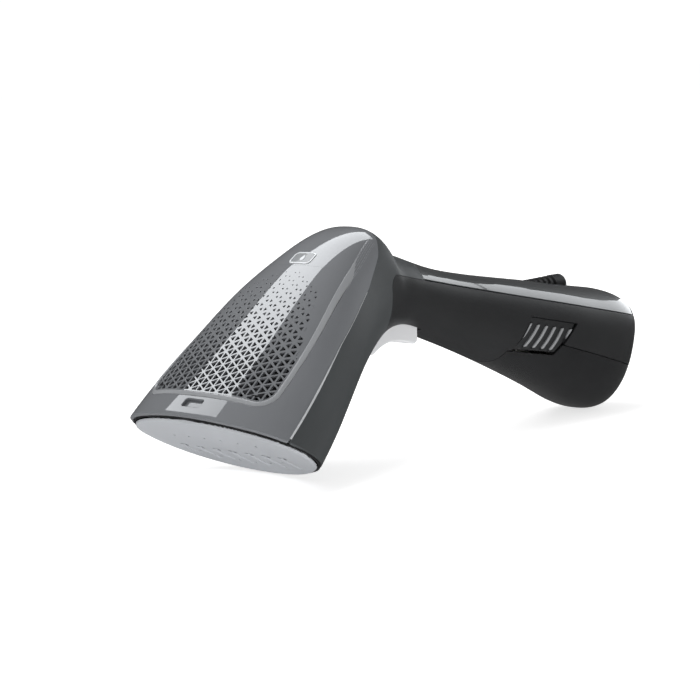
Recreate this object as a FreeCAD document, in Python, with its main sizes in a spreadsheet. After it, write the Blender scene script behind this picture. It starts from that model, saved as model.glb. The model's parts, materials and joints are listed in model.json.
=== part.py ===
"""Handheld garment steamer: head with a steam plate, handle with a sliding water tank.

Frame: X across the body (the object is symmetric about x = 0), Y from the head towards
the end of the handle, Z up. Lengths are in millimetres. The pieces are drawn in a design
frame whose origin is below the middle of the steam plate, and set down at the end in the
object's own frame: origin on the surface that it rests on, below its middle.
"""
import FreeCAD, Part
import math
import os
import Sketcher
from FreeCAD import Placement, Rotation, Vector

doc = FreeCAD.newDocument("garment_steamer")

# ---------------------------------------------------------------- driving dimensions

DIMENSIONS = {
    "sole_half_width": 57.5,       # steam plate, across
    "sole_front_bulge": 23.0,      # plate outline in front of its widest line
    "sole_rear_bulge": 31.5,       # plate outline behind its widest line
    "sole_thickness": 3.0,
    "sole_height": 19.0,           # height of the plate's widest line above the table
    "sole_lean": 31.7,             # angle of the plate from the horizontal, degrees
    "steam_hole_radius": 1.1,
    "gasket_lip": 2.6,             # how far the seal stands out around the plate
    "gasket_top": 4.0,
    "wall": 2.2,                   # moulded shells
    "seam": 0.15,                  # gap at a closed seam, each side
    "tank_gap": 0.3,               # clearance along the tank's slide
    "panel_pitch": 42.3,           # slope of the head's front, degrees
    "slide_drop": 17.0,            # slope of the tank's slide, degrees
    "handle_drop": 15.0,           # slope of the handle's middle line, degrees
    "generator_half_width": 44.0,
    "generator_front": 11.0,
    "generator_rear": 20.0,
    "generator_depth": 15.0,
    "cover_depth": 2.5,
    "element_radius": 3.2,
    "pin_radius": 1.5,
    "trigger_half_width": 9.2,
    "pump_radius": 7.0,
    "coil_radius": 10.5,
    "coil_length": 22.0,
    "pump_length": 40.0,
    "plunger_radius": 4.0,
    "tube_radius": 2.4,
    "tube_bore": 1.3,
    "neck_radius": 4.0,
    "screw_radius": 1.4,
    "screw_head_radius": 2.6,
    "cord_radius": 3.5,            # bore of the strain relief
    "guard_radius": 4.9,
    "guard_length": 34.0,
    "rest_tilt": 1.317,            # from the design frame to the table, degrees
    "origin_back": 129.22,
    "origin_drop": 1.17,
}

sheet = doc.addObject("Spreadsheet::Sheet", "params")
for row, (alias, number) in enumerate(DIMENSIONS.items(), start=1):
    sheet.set(f"A{row}", alias)
    sheet.set(f"B{row}", str(number))
    sheet.setAlias(f"B{row}", alias)
doc.recompute()


def value(alias):
    """Read one driving dimension back from the sheet."""
    return float(sheet.get(alias))


WALL = value("wall")
SEAM = value("seam")
X_AXIS = Vector(1, 0, 0)
Y_AXIS = Vector(0, 1, 0)
Z_AXIS = Vector(0, 0, 1)
BIG = 400.0

# local frames: the steam plate (z into the head), the head's front (z out of it),
# the handle's middle line (z towards its end) and the tank's slide (z the way it leaves)
SOLE = Placement(Vector(0, 0, value("sole_height")), Rotation(X_AXIS, -value("sole_lean")))
FRONT = Placement(Vector(0, 0, 0), Rotation(X_AXIS, value("panel_pitch")))
HANDLE_TURN = Rotation(X_AXIS, -90 - value("handle_drop"))
SLIDE_TURN = Rotation(X_AXIS, -90 - value("slide_drop"))
PUMP = Placement(Vector(0, 127, 76.5), HANDLE_TURN)
NECK = Placement(Vector(0, 203, 38.5), SLIDE_TURN)
GUARD = Placement(Vector(0, 199, 73.2), Rotation(X_AXIS, -88))

nodes = {}


def keep(name, obj):
    """Register a finished sub-part under its node name."""
    obj.Label = name
    nodes[name] = obj
    return obj


# ---------------------------------------------------------------- small builders

def primitive(kind, name, place, **sizes):
    """Part primitive whose sizes are expressions or plain numbers."""
    obj = doc.addObject(f"Part::{kind}", name)
    for prop, size in sizes.items():
        if isinstance(size, str):
            obj.setExpression(prop, size)
        else:
            setattr(obj, prop, size)
    obj.Placement = place
    return obj


def at(x, y, z, axis=X_AXIS, angle=0.0):
    return Placement(Vector(x, y, z), Rotation(axis, angle))


def cylinder(name, place, radius, height):
    return primitive("Cylinder", name, place, Radius=radius, Height=height)


def block(name, place, length, width, height):
    return primitive("Box", name, place, Length=length, Width=width, Height=height)


def fuse(name, *shapes):
    obj = doc.addObject("Part::MultiFuse", name)
    obj.Shapes = list(shapes)
    return obj


def cut(name, base, *tools):
    obj = doc.addObject("Part::Cut", name)
    obj.Base = base
    obj.Tool = tools[0] if len(tools) == 1 else fuse(name + "_tools", *tools)
    return obj


def feature(name, shape):
    """Freeform piece, made with Part's own functions."""
    obj = doc.addObject("Part::Feature", name)
    obj.Shape = shape
    return obj


def prism(points, half_width=BIG):
    """Solid between x = -half_width and +half_width over an outline in the YZ plane."""
    corners = [Vector(-half_width, y, z) for y, z in points]
    face = Part.Face(Part.makePolygon(corners + corners[:1]))
    return face.extrude(Vector(2 * half_width, 0, 0))


def pieces(shape):
    """Group of separate solids as one shape."""
    solids = shape.Solids
    return solids[0] if len(solids) == 1 else Part.makeCompound(solids)


def bent_path(points, bend):
    """Straight runs joined by tangent arcs."""
    edges = []
    start = points[0]
    for before, corner, after in zip(points, points[1:], points[2:]):
        back = (before - corner).normalize()
        ahead = (after - corner).normalize()
        half_turn = (math.pi - back.getAngle(ahead)) / 2
        reach = bend * math.tan(half_turn)
        first = corner + back * reach
        last = corner + ahead * reach
        middle_way = (back + ahead).normalize()
        middle = corner + middle_way * (bend / math.cos(half_turn) - bend)
        edges.append(Part.makeLine(start, first))
        edges.append(Part.Arc(first, middle, last).toShape())
        start = last
    edges.append(Part.makeLine(start, points[-1]))
    return Part.Wire(edges)


def swept(path, radius):
    """Round rod along a path."""
    first = path.Edges[0]
    heading = first.tangentAt(first.FirstParameter)
    origin = first.valueAt(first.FirstParameter)
    ring = Part.Wire(Part.makeCircle(radius, origin, heading))
    return path.makePipeShell([ring], True, False)


def hose(points, bend, radius, bore):
    path = bent_path(points, bend)
    return swept(path, radius).cut(swept(path, bore))


def spring(radius, wire, length, turns):
    """Round-wire compression spring that stands on the local XY plane."""
    coil = Part.makeHelix((length - 2 * wire) / turns, length - 2 * wire, radius)
    ring = Part.Wire(Part.makeCircle(wire, Vector(radius, 0, 0), Y_AXIS))
    solid = Part.Wire(coil.Edges).makePipeShell([ring], True, True)
    solid.translate(Vector(0, 0, wire))
    return solid


def moved(shape, place):
    """Copy of a local shape, set in the object's frame."""
    copy = shape.copy()
    copy.Placement = place.multiply(copy.Placement)
    return copy


# ---------------------------------------------------------------- outer form
# Each station is a cross-section: its point on the front and back line of the body
# (y, z), its point on the inner line under the head and handle (y, z), the half width,
# where the widest line lies between the two, and the fullness of each side (2 = ellipse).

def on_sole(y, z):
    """Y and Z of a point of the middle plane given in the steam plate's frame."""
    point = SOLE.multVec(Vector(0, y, z))
    return point.y, point.z


RIM = value("gasket_lip") + 0.2
BASE_FRONT = on_sole(-value("sole_front_bulge") - RIM, value("gasket_top"))
BASE_REAR = on_sole(value("sole_rear_bulge") + RIM, value("gasket_top"))
BASE_HALF_WIDTH = value("sole_half_width") + RIM

STATIONS = [
    (BASE_FRONT, BASE_REAR, BASE_HALF_WIDTH, 0.43, 2.3, 2.0),
    ((2.0, 54.0), (40.0, 13.0), 55.0, 0.46, 3.1, 2.0),
    ((21.0, 71.3), (50.5, 24.0), 49.0, 0.48, 3.4, 2.0),
    ((40.5, 89.3), (62.5, 37.5), 42.0, 0.50, 3.4, 2.1),
    ((57.5, 102.8), (76.0, 48.5), 34.5, 0.50, 3.0, 2.2),
    ((73.5, 111.9), (88.0, 57.0), 28.8, 0.50, 2.7, 2.3),
    ((87.2, 112.3), (97.5, 61.5), 25.6, 0.50, 2.5, 2.3),
    ((93.4, 104.0), (103.5, 63.2), 24.0, 0.50, 2.4, 2.3),
    ((103.5, 101.8), (108.5, 63.4), 22.8, 0.50, 2.3, 2.3),
    ((114.5, 96.0), (114.5, 61.8), 21.6, 0.50, 2.2, 2.2),
    ((130.0, 91.0), (125.0, 57.6), 20.8, 0.50, 2.2, 2.2),
    ((148.0, 86.9), (142.0, 51.0), 20.7, 0.50, 2.2, 2.2),
    ((170.0, 83.2), (164.5, 41.8), 22.0, 0.50, 2.2, 2.2),
    ((196.0, 79.4), (191.5, 29.8), 24.6, 0.50, 2.2, 2.2),
    ((222.0, 75.5), (217.0, 17.6), 27.2, 0.50, 2.2, 2.3),
    ((242.0, 72.5), (235.0, 9.0), 28.0, 0.50, 2.2, 2.4),
    ((257.0, 69.6), (248.0, 7.0), 26.8, 0.48, 2.3, 2.4),
    ((268.0, 65.6), (256.5, 11.5), 23.5, 0.45, 2.4, 2.3),
    ((274.4, 60.5), (263.5, 21.5), 18.0, 0.42, 2.4, 2.2),
    ((277.2, 54.8), (270.0, 34.0), 10.5, 0.45, 2.2, 2.1),
    ((277.6, 50.0), (275.0, 43.0), 3.0, 0.50, 2.0, 2.0),
]
SECTION_POINTS = 40


def section(station, inset):
    """Points around a cross-section, set back from the outer form by inset."""
    (front_y, front_z), (back_y, back_z), half_width, split, front_power, back_power = station
    front = Vector(0, front_y, front_z)
    back = Vector(0, back_y, back_z)
    step = (back - front).normalize() * inset
    front = front + step
    back = back - step
    middle = front + (back - front) * split
    points = []
    for index in range(SECTION_POINTS):
        turn = 2 * math.pi * (index + 0.5) / SECTION_POINTS - math.pi / 2
        across = math.cos(turn)
        along = math.sin(turn)
        power = 2 / (front_power if along > 0 else back_power)
        reach = (front if along > 0 else back) - middle
        side = math.copysign(abs(across) ** power, across) * (half_width - inset)
        points.append(middle + reach * abs(along) ** power + Vector(side, 0, 0))
    return points + points[:1]


def form(inset, overrun=0.0, drop_last=0):
    """Solid of the body, set back by inset; overrun carries it past its base plane."""
    rows = [section(station, inset) for station in STATIONS[:len(STATIONS) - drop_last]]
    lean = Vector()
    for low, high in zip(rows[0], rows[1]):
        lean += (high - low) / len(rows[0])
    rows[0] = [point - lean * overrun for point in rows[0]]
    surface = Part.BSplineSurface()
    surface.interpolate(rows)
    skin = surface.toShape()
    ends = [Part.Face(Part.Wire(edge)) for edge in skin.Edges if edge.isClosed()]
    closed = Part.makeShell([skin, *ends])
    closed.sewShape()
    solid = Part.Solid(closed)
    return solid if solid.Volume > 0 else solid.reversed()


outer = form(0.0)
inner = form(WALL, overrun=0.12, drop_last=2)

# ---------------------------------------------------------------- how the shells part
# Outlines in the YZ plane. The belt divides the front cover from the head's rear, the
# collar line divides the head from the grips, and the strip line the grips from the back.

BELT = [(-14.0, 20.6), (36.0, 64.2), (66.0, 86.8), (78.5, 100.0), (89.5, 118.0)]
STRIP_START = 113.5
STRIP_HEIGHT = 86.6
STRIP_SLOPE = -0.204
COLLAR = 86.0


def strip_height(y):
    return STRIP_HEIGHT + STRIP_SLOPE * (y - STRIP_START)


def slide_height(y, start_z=46.9, start_y=202.2):
    """Height of the tank's rear parting line, which runs along the slide."""
    return start_z - math.tan(math.radians(value("slide_drop"))) * (y - start_y)


def tank_outline(lower):
    """Side outline around the tank, with its top edge moved down by lower."""
    return [(166.5, 28.0), (173.0, 45.6 - lower), (200.2, 41.2 - lower),
            (205.6, slide_height(205.6) - lower), (290.0, slide_height(290.0) - lower),
            (290.0, -30.0), (150.0, -30.0)]


front_zone = prism(BELT + [(-70.0, 118.0), (-70.0, 20.6)])
grip_zone = prism([(COLLAR, -40.0), (COLLAR, strip_height(COLLAR) - 6.0),
                   (COLLAR + 6.0, strip_height(COLLAR + 6.0)),
                   (300.0, strip_height(300.0)), (300.0, -40.0)])
strip_zone = prism([(STRIP_START, strip_height(STRIP_START)), (STRIP_START + 3.0, 130.0),
                    (300.0, 130.0), (300.0, strip_height(300.0))])
tank_zone = prism(tank_outline(0.0))
right_side = Part.makeBox(BIG, 2 * BIG, 2 * BIG, Vector(0, -BIG, -BIG))
left_side = Part.makeBox(BIG, 2 * BIG, 2 * BIG, Vector(-BIG, -BIG, -BIG))
trigger_slot = Part.makeBox(2 * value("trigger_half_width") + 1.2, 37.4, 30.0,
                            Vector(-value("trigger_half_width") - 0.6, 83.2, 38.0))

shell = outer.cut(inner)
head_shell = shell.cut(grip_zone).cut(strip_zone)
handle_shell = shell.common(grip_zone).cut(tank_zone)

# ---------------------------------------------------------------- front cover and grille

WINDOW_FOOT = 22.6
WINDOW_HALF_WIDTH = 42.5
WINDOW_CORNER = 8.0
CREST_REACH = 145.0


def window_half_width(up):
    """Half width of the grille window, which narrows faster and faster to the crest."""
    rise = up - WINDOW_FOOT - WINDOW_CORNER
    return WINDOW_HALF_WIDTH - 0.035 * rise - 0.0019 * rise ** 2


def window_outline(grow):
    """Outline of the grille window in the front's frame: wide foot, bowed sides."""
    foot = WINDOW_FOOT - grow
    wide = WINDOW_HALF_WIDTH + grow
    corner = WINDOW_CORNER + grow
    bend = corner * (1 - math.sqrt(0.5))
    right = [Vector(wide - corner, foot, 0), Vector(wide - bend, foot + bend, 0),
             Vector(wide, foot + corner, 0)]
    heights = [52.0, 75.0, 98.0, 121.0, CREST_REACH]
    side = [right[2]] + [Vector(window_half_width(up) + grow, up, 0) for up in heights]

    def mirrored(points):
        return [Vector(-point.x, point.y, 0) for point in reversed(points)]

    def bowed(points):
        curve = Part.BSplineCurve()
        curve.interpolate(points)
        return curve.toShape()

    left, left_side = mirrored(right), mirrored(side)
    return Part.Wire([Part.makeLine(left[2], right[0]),
                      Part.Arc(right[0], right[1], right[2]).toShape(),
                      bowed(side),
                      Part.makeLine(side[-1], left_side[0]),
                      bowed(left_side),
                      Part.Arc(left[0], left[1], left[2]).toShape()])


def window(grow):
    return moved(Part.Face(window_outline(grow)).extrude(Vector(0, 0, BIG)), FRONT)


RECESS_LENGTH = 14.0
RECESS_WIDTH = 6.6
RECESS_DEPTH = 3.2
RECESS_FOOT = 13.4
RECESS_SKIN = 36.6


def recess_box(grow, top):
    low = Vector(-RECESS_LENGTH / 2 - grow, RECESS_FOOT - grow, RECESS_SKIN - RECESS_DEPTH - grow)
    return moved(Part.makeBox(RECESS_LENGTH + 2 * grow, RECESS_WIDTH + 2 * grow,
                              top, low), FRONT)


cover_shell = shell.common(front_zone)
recess_cup = recess_box(1.6, 12.0).common(outer)
front_cover = cover_shell.cut(window(0.0)).fuse(recess_cup).cut(recess_box(0.0, 20.0))
keep("front_cover", feature("front_cover", pieces(front_cover)))
keep("grille_panel", feature("grille_panel", pieces(cover_shell.common(window(-SEAM)))))

backing_outer = form(WALL + 0.3, overrun=0.12, drop_last=2)
backing_inner = form(WALL + 1.1, overrun=0.12, drop_last=2)
backing_zone = prism([(-4.0, 40.0), (10.0, 42.0), (55.0, 84.0), (55.0, 130.0), (-40.0, 130.0)])
backing = backing_outer.cut(backing_inner).common(window(-3.0)).common(backing_zone)
keep("grille_backing", feature("grille_backing", pieces(backing)))

BADGE_LENGTH = 15.0
BADGE_WIDTH = 8.0
BADGE_PLACE = 108.0
badge_skin = form(-0.5).cut(form(0.0))
badge_plan = Part.makeBox(BADGE_LENGTH, BADGE_WIDTH, BIG,
                          Vector(-BADGE_LENGTH / 2, BADGE_PLACE - BADGE_WIDTH / 2, 0))
badge_edges = [edge for edge in badge_plan.Edges
               if abs(edge.tangentAt(edge.FirstParameter).z) > 0.9]
badge_plan = moved(badge_plan.makeFillet(2.5, badge_edges), FRONT)
keep("badge", feature("badge", pieces(badge_skin.common(badge_plan))))

# ---------------------------------------------------------------- head rear and handle

head_rear = head_shell.cut(front_zone).cut(trigger_slot)
keep("head_housing", feature("head_housing", max(head_rear.Solids, key=lambda s: s.Volume)))

BUTTON_WINDOW = [(185.6, 62.2), (216.8, 55.8), (200.6, 40.4), (174.6, 44.6)]
BUTTON_FACE = [(186.0, 61.7), (215.2, 55.7), (201.0, 42.4), (176.0, 46.4)]
RIB_COUNT = 6


grips = handle_shell.cut(trigger_slot).cut(prism(BUTTON_WINDOW))
for side_name, side in (("right", right_side), ("left", left_side)):
    half = grips.common(side)
    name = f"handle_grip_{side_name}"
    keep(name, feature(name, max(half.Solids, key=lambda s: s.Volume)))

guard_sleeve = moved(Part.makeCylinder(8.0, 43.0), GUARD).common(outer)
guard_channel = moved(Part.makeCylinder(6.0, 60.0, Vector(0, 0, 3.0)), GUARD)
guard_socket = moved(Part.makeCylinder(4.2, 6.0, Vector(0, 0, -2.0)), GUARD)
guard_flange_room = moved(Part.makeCylinder(4.75, 2.4, Vector(0, 0, -2.4)), GUARD)
back_cover = shell.common(strip_zone).fuse(guard_sleeve.common(strip_zone))
back_cover = back_cover.cut([guard_channel, guard_socket, guard_flange_room])
keep("handle_back_cover",
     feature("handle_back_cover", max(back_cover.Solids, key=lambda s: s.Volume)))

# ---------------------------------------------------------------- release buttons

RIB_PITCH = (5.35, -1.06)
RIB_TOP = (184.0, 58.6)
RIB_RUN = (-8.3, -10.8)
button_body = form(0.9).cut(form(3.3)).common(prism(BUTTON_FACE))
rib_layer = form(0.15).cut(form(1.2))
button_ribs = []
for index in range(RIB_COUNT):
    top_y = RIB_TOP[0] + index * RIB_PITCH[0]
    top_z = RIB_TOP[1] + index * RIB_PITCH[1]
    outline = [(top_y, top_z), (top_y + 1.6, top_z + 0.3),
               (top_y + 1.6 + RIB_RUN[0], top_z + 0.3 + RIB_RUN[1]),
               (top_y + RIB_RUN[0], top_z + RIB_RUN[1])]
    button_ribs.append(rib_layer.common(prism(outline)))
button = button_body.fuse(button_ribs).common(prism(BUTTON_FACE))
BUTTON_MIDDLE = (195.0, 54.0)
for side_name, side, sign in (("right", right_side, 1), ("left", left_side, -1)):
    boss = Part.makeCylinder(1.8, 3.5, Vector(sign * 22.5, *BUTTON_MIDDLE),
                             Vector(-sign, 0, 0))
    pad = button.common(side).fuse(boss)
    name = f"release_button_{side_name}"
    keep(name, feature(name, max(pad.Solids, key=lambda s: s.Volume)))
    coil = moved(spring(2.5, 0.35, 10.6, 6),
                 Placement(Vector(sign * 10.1, *BUTTON_MIDDLE), Rotation(Y_AXIS, sign * 90)))
    name = f"release_spring_{side_name}"
    keep(name, feature(name, coil))

# ---------------------------------------------------------------- steam plate and seal


def body(name):
    return doc.addObject("PartDesign::Body", name)


def sketch(owner, name, height=0.0):
    """Sketch on the body's own XY plane, raised by height."""
    obj = owner.newObject("Sketcher::SketchObject", name)
    planes = owner.Origin.OriginFeatures
    obj.AttachmentSupport = (next(p for p in planes if p.Role == "XY_Plane"), [""])
    obj.MapMode = "FlatFace"
    obj.AttachmentOffset = Placement(Vector(0, 0, height), Rotation())
    return obj


def egg(target, half_width, front, rear):
    """Outline of two half ellipses that share their widest line."""
    for reach, start in ((rear, 0.0), (front, math.pi)):
        wide = half_width >= reach
        major = half_width if wide else reach
        minor = reach if wide else half_width
        ellipse = Part.Ellipse(Vector(0, 0, 0), major, minor)
        target.addGeometry(Part.ArcOfEllipse(ellipse, start, start + math.pi), False)
    target.addConstraint(Sketcher.Constraint("Coincident", 0, 2, 1, 1))
    target.addConstraint(Sketcher.Constraint("Coincident", 0, 1, 1, 2))


def pad(owner, profile, length, reverse=False):
    obj = owner.newObject("PartDesign::Pad", profile.Name + "_pad")
    obj.Profile = profile
    if isinstance(length, str):
        obj.setExpression("Length", length)
    else:
        obj.Length = length
    obj.Reversed = reverse
    return obj


def pocket(owner, profile, length):
    """Cut a profile upwards, along the body's +Z."""
    obj = owner.newObject("PartDesign::Pocket", profile.Name + "_pocket")
    obj.Profile = profile
    obj.Length = length
    obj.Reversed = True
    return obj


def circles(target, centres, radius):
    """Equal circles whose radius is bound to an expression."""
    for index, (x, y) in enumerate(centres):
        target.addGeometry(Part.Circle(Vector(x, y, 0), Z_AXIS, 1.0), False)
        target.addConstraint(Sketcher.Constraint("Radius", index, 1.0))
        target.setExpression(f"Constraints[{index}]", radius)


SOLE_X = value("sole_half_width")
SOLE_FRONT = value("sole_front_bulge")
SOLE_REAR = value("sole_rear_bulge")
HOLE_SPACING = 11.9


def steam_holes():
    """Two bowed rows of steam holes over the evaporating chamber."""
    front_row = [(HOLE_SPACING * i, 8.7 - 0.05 * i * i) for i in range(-3, 4)]
    rear_row = [(HOLE_SPACING * (i + 0.5), 19.5 - 0.9 * (i + 0.5) ** 2) for i in range(-3, 3)]
    top_row = [(HOLE_SPACING * (i + 0.5), -5.0 + 0.2 * (i + 0.5) ** 2) for i in range(-3, 3)]
    return front_row + rear_row + top_row


sole = body("sole_plate")
outline = sketch(sole, "sole_outline")
egg(outline, SOLE_X, SOLE_FRONT, SOLE_REAR)
sole_pad = pad(sole, outline, "params.sole_thickness")
doc.recompute()
rim_edges = [f"Edge{i + 1}" for i, edge in enumerate(sole_pad.Shape.Edges)
             if edge.BoundBox.ZMax < 0.01]
rim = sole.newObject("PartDesign::Fillet", "sole_rim")
rim.Base = (sole_pad, rim_edges)
rim.Radius = 1.2
doc.recompute()
hole_sketch = sketch(sole, "steam_hole_sketch")
circles(hole_sketch, steam_holes(), "params.steam_hole_radius")
pocket(sole, hole_sketch, 5.0)
sole.Placement = SOLE
keep("sole_plate", sole)

seal = body("sole_gasket")
seal_outline = sketch(seal, "seal_outline", 0.9)
egg(seal_outline, *(size + value("gasket_lip") for size in (SOLE_X, SOLE_FRONT, SOLE_REAR)))
pad(seal, seal_outline, "params.gasket_top - 0.9")
seal_seat = sketch(seal, "seal_seat", 0.9)
egg(seal_seat, *(size + SEAM for size in (SOLE_X, SOLE_FRONT, SOLE_REAR)))
pocket(seal, seal_seat, value("sole_thickness") - 0.9)
seal_hole = sketch(seal, "seal_hole", 0.9)
egg(seal_hole, *(size - 5.0 for size in (SOLE_X, SOLE_FRONT, SOLE_REAR)))
pocket(seal, seal_hole, 6.0)
seal.Placement = SOLE
keep("sole_gasket", seal)

# ---------------------------------------------------------------- steam generator

GEN_X = value("generator_half_width")
GEN_FRONT = value("generator_front")
GEN_REAR = value("generator_rear")
GEN_FOOT = value("sole_thickness")
GEN_TOP = GEN_FOOT + value("generator_depth")
COVER_TOP = GEN_TOP + value("cover_depth")
ELEMENT_HEIGHT = GEN_FOOT + 7.0
LUGS = [(-38.6, 1.5), (38.6, 1.5), (-17.0, -6.5), (17.0, -6.5), (-17.0, 15.0), (17.0, 15.0)]


def element_path():
    """Hairpin of the heating element around the evaporating chamber, open to the rear."""
    points = [Vector(-11, 24.5, 0), Vector(-11, 14.5, 0), Vector(-32, 10, 0),
              Vector(-32, -4, 0), Vector(32, -4, 0), Vector(32, 10, 0),
              Vector(11, 14.5, 0), Vector(11, 24.5, 0)]
    lift = Vector(0, 0, ELEMENT_HEIGHT)
    return bent_path([point + lift for point in points], 4.2)


generator = body("generator_block")
generator_outline = sketch(generator, "generator_outline", GEN_FOOT)
egg(generator_outline, GEN_X, GEN_FRONT, GEN_REAR)
pad(generator, generator_outline, "params.generator_depth")
chamber = sketch(generator, "chamber_outline", GEN_FOOT + 3.0)
egg(chamber, 22.0, 0.4, 8.5)
pocket(generator, chamber, 30.0)
doc.recompute()
generator_tool = feature("element_groove", swept(element_path(), value("element_radius")))
generator_lugs = [cylinder(f"lug_hole_{i}", at(x, y, GEN_TOP - 4.5),
                           "params.screw_radius", 10.0) for i, (x, y) in enumerate(LUGS)]
generator_cut = cut("steam_generator", generator, generator_tool, *generator_lugs)
generator_cut.Placement = SOLE
keep("steam_generator", generator_cut)

keep("heating_element", feature("heating_element", moved(
    swept(element_path(), value("element_radius")), SOLE)))

cover = body("chamber_cover")
cover_outline = sketch(cover, "cover_outline", GEN_TOP)
egg(cover_outline, GEN_X - 3.0, GEN_FRONT - 2.0, GEN_REAR - 2.5)
pad(cover, cover_outline, "params.cover_depth")
cover_holes = sketch(cover, "cover_holes", GEN_TOP)
circles(cover_holes, LUGS + [(0.0, 5.0)], "params.screw_radius")
pocket(cover, cover_holes, 8.0)
cover.Placement = SOLE
keep("chamber_cover", cover)


def screws(name, places, length):
    """Pan-head screws as one group: a thread shank and a domed head each."""
    shanks = []
    for place in places:
        shank = Part.makeCylinder(value("screw_radius"), length, Vector(0, 0, -length))
        head = Part.makeCylinder(value("screw_head_radius"), 1.6)
        head = head.makeFillet(0.6, [e for e in head.Edges if e.BoundBox.ZMin > 1.5])
        slot = Part.makeBox(4.0, 0.7, 1.0, Vector(-2.0, -0.35, 0.9))
        shanks.append(moved(shank.fuse(head).cut(slot), place))
    keep(name, feature(name, Part.makeCompound(shanks)))


screws("generator_screws",
       [SOLE.multiply(at(x, y, COVER_TOP)) for x, y in LUGS], 6.5)

standoffs = []
for x in (-50.0, 50.0):
    post = Part.makeCylinder(3.0, 9.0, Vector(x, 3.0, GEN_FOOT + 1.0))
    standoffs.append(moved(post, SOLE))
keep("generator_standoffs", feature("generator_standoffs", Part.makeCompound(standoffs)))

thermostat_disc = cylinder("thermostat_disc", at(22.0, 4.5, COVER_TOP), 6.5, 5.0)
thermostat_cap = cylinder("thermostat_cap", at(22.0, 4.5, COVER_TOP), 4.5, 9.0)
thermostat = fuse("thermostat", thermostat_disc, thermostat_cap)
thermostat.Placement = SOLE
keep("thermostat", thermostat)

thermal_fuse = cylinder("thermal_fuse", SOLE.multiply(
    at(-30.0, 4.5, COVER_TOP + 2.2, Y_AXIS, 90)), 2.2, 14.0)
keep("thermal_fuse", thermal_fuse)

nozzle_base = cylinder("nozzle_base", at(0, 5.0, COVER_TOP), 4.5, 3.0)
nozzle_pipe = cylinder("nozzle_pipe", at(0, 5.0, COVER_TOP), "params.tube_bore + 0.9", 10.0)
nozzle_hole = cylinder("nozzle_hole", at(0, 5.0, COVER_TOP - 1), 0.8, 12.0)
nozzle = cut("inlet_nozzle", fuse("nozzle_solid", nozzle_base, nozzle_pipe), nozzle_hole)
nozzle.Placement = SOLE
keep("inlet_nozzle", nozzle)
NOZZLE_TIP = SOLE.multVec(Vector(0, 5.0, COVER_TOP + 10.0))
NOZZLE_WAY = SOLE.Rotation.multVec(Z_AXIS)

# ---------------------------------------------------------------- pump and tubes

PUMP_LENGTH = value("pump_length")
COIL_START = 9.0
CHAMBER_START = 8.0
CHAMBER_LENGTH = 25.0
BARB_LENGTH = 6.0

pump_shaft = cylinder("pump_shaft", at(0, 0, 0), "params.pump_radius", "params.pump_length")
pump_barbs = cylinder("pump_barbs", at(0, 0, -BARB_LENGTH), 2.2,
                      f"params.pump_length + {2 * BARB_LENGTH}")
pump_bore = cylinder("pump_bore", at(0, 0, CHAMBER_START),
                     "params.plunger_radius + 0.08", CHAMBER_LENGTH)
pump_water = cylinder("pump_water", at(0, 0, -BARB_LENGTH - 1), 0.9,
                      f"params.pump_length + {2 * BARB_LENGTH + 2}")
pump = cut("pump_body", fuse("pump_solid", pump_shaft, pump_barbs), pump_bore, pump_water)
pump.Placement = PUMP
keep("pump_body", pump)

coil_rings = []
for start, radius, length in ((0.0, "params.coil_radius", 1.6),
                              (1.6, "params.coil_radius - 1.2", 18.8),
                              (20.4, "params.coil_radius", 1.6)):
    coil_rings.append(cylinder("coil_ring", at(0, 0, COIL_START + start), radius, length))
coil_hole = cylinder("coil_hole", at(0, 0, COIL_START - 1), "params.pump_radius + 0.02", 24.0)
pump_coil = cut("pump_coil", fuse("coil_solid", *coil_rings), coil_hole)
pump_coil.Placement = PUMP
keep("pump_coil", pump_coil)

PLUNGER_LENGTH = 14.0
plunger = cylinder("pump_plunger", PUMP.multiply(at(0, 0, CHAMBER_START + 2.0)),
                   "params.plunger_radius", PLUNGER_LENGTH)
keep("pump_plunger", plunger)
pump_spring = moved(spring(2.9, 0.35, CHAMBER_LENGTH - PLUNGER_LENGTH - 2.2, 5),
                    PUMP.multiply(at(0, 0, CHAMBER_START + 2.1 + PLUNGER_LENGTH)))
keep("pump_spring", feature("pump_spring", pump_spring))

mount_rings = []
for start in (2.0, PUMP_LENGTH - 7.0):
    ring = Part.makeCylinder(11.5, 4.5, Vector(0, 0, start))
    ring = ring.cut(Part.makeCylinder(value("pump_radius") + 0.02, 6.0, Vector(0, 0, start - 1)))
    foot = Part.makeBox(14.0, 4.0, 4.5, Vector(-7.0, 9.0, start))
    foot = foot.cut(Part.makeCylinder(11.0, 6.0, Vector(0, 0, start - 1)))
    mount_rings.append(moved(ring.fuse(foot), PUMP))
keep("pump_mounts", feature("pump_mounts", Part.makeCompound(mount_rings)))

TUBE = value("tube_radius") + 0.5
TUBE_BORE = 2.22
barb_in = PUMP.multVec(Vector(0, 0, -2.0))
pump_way = PUMP.Rotation.multVec(Z_AXIS)
pressure_points = [NOZZLE_TIP - NOZZLE_WAY * 5.0, NOZZLE_TIP + NOZZLE_WAY * 8.0,
                   Vector(0, 60, 79), Vector(0, 95, 93), barb_in - pump_way * 6.0,
                   barb_in]
keep("pressure_tube", feature("pressure_tube", hose(pressure_points, 7.0, TUBE, TUBE_BORE)))

DOCK_PORT = Vector(0, 187.0, 48.5)
barb_out = PUMP.multVec(Vector(0, 0, PUMP_LENGTH + 2.0))
suction_points = [barb_out, barb_out + pump_way * 9.5, DOCK_PORT + Vector(0, -7.5, 0),
                  DOCK_PORT + Vector(0, -1.0, 0)]
keep("suction_tube", feature("suction_tube", hose(suction_points, 3.6, TUBE, TUBE_BORE)))

# ---------------------------------------------------------------- tank, its valve and dock

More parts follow.
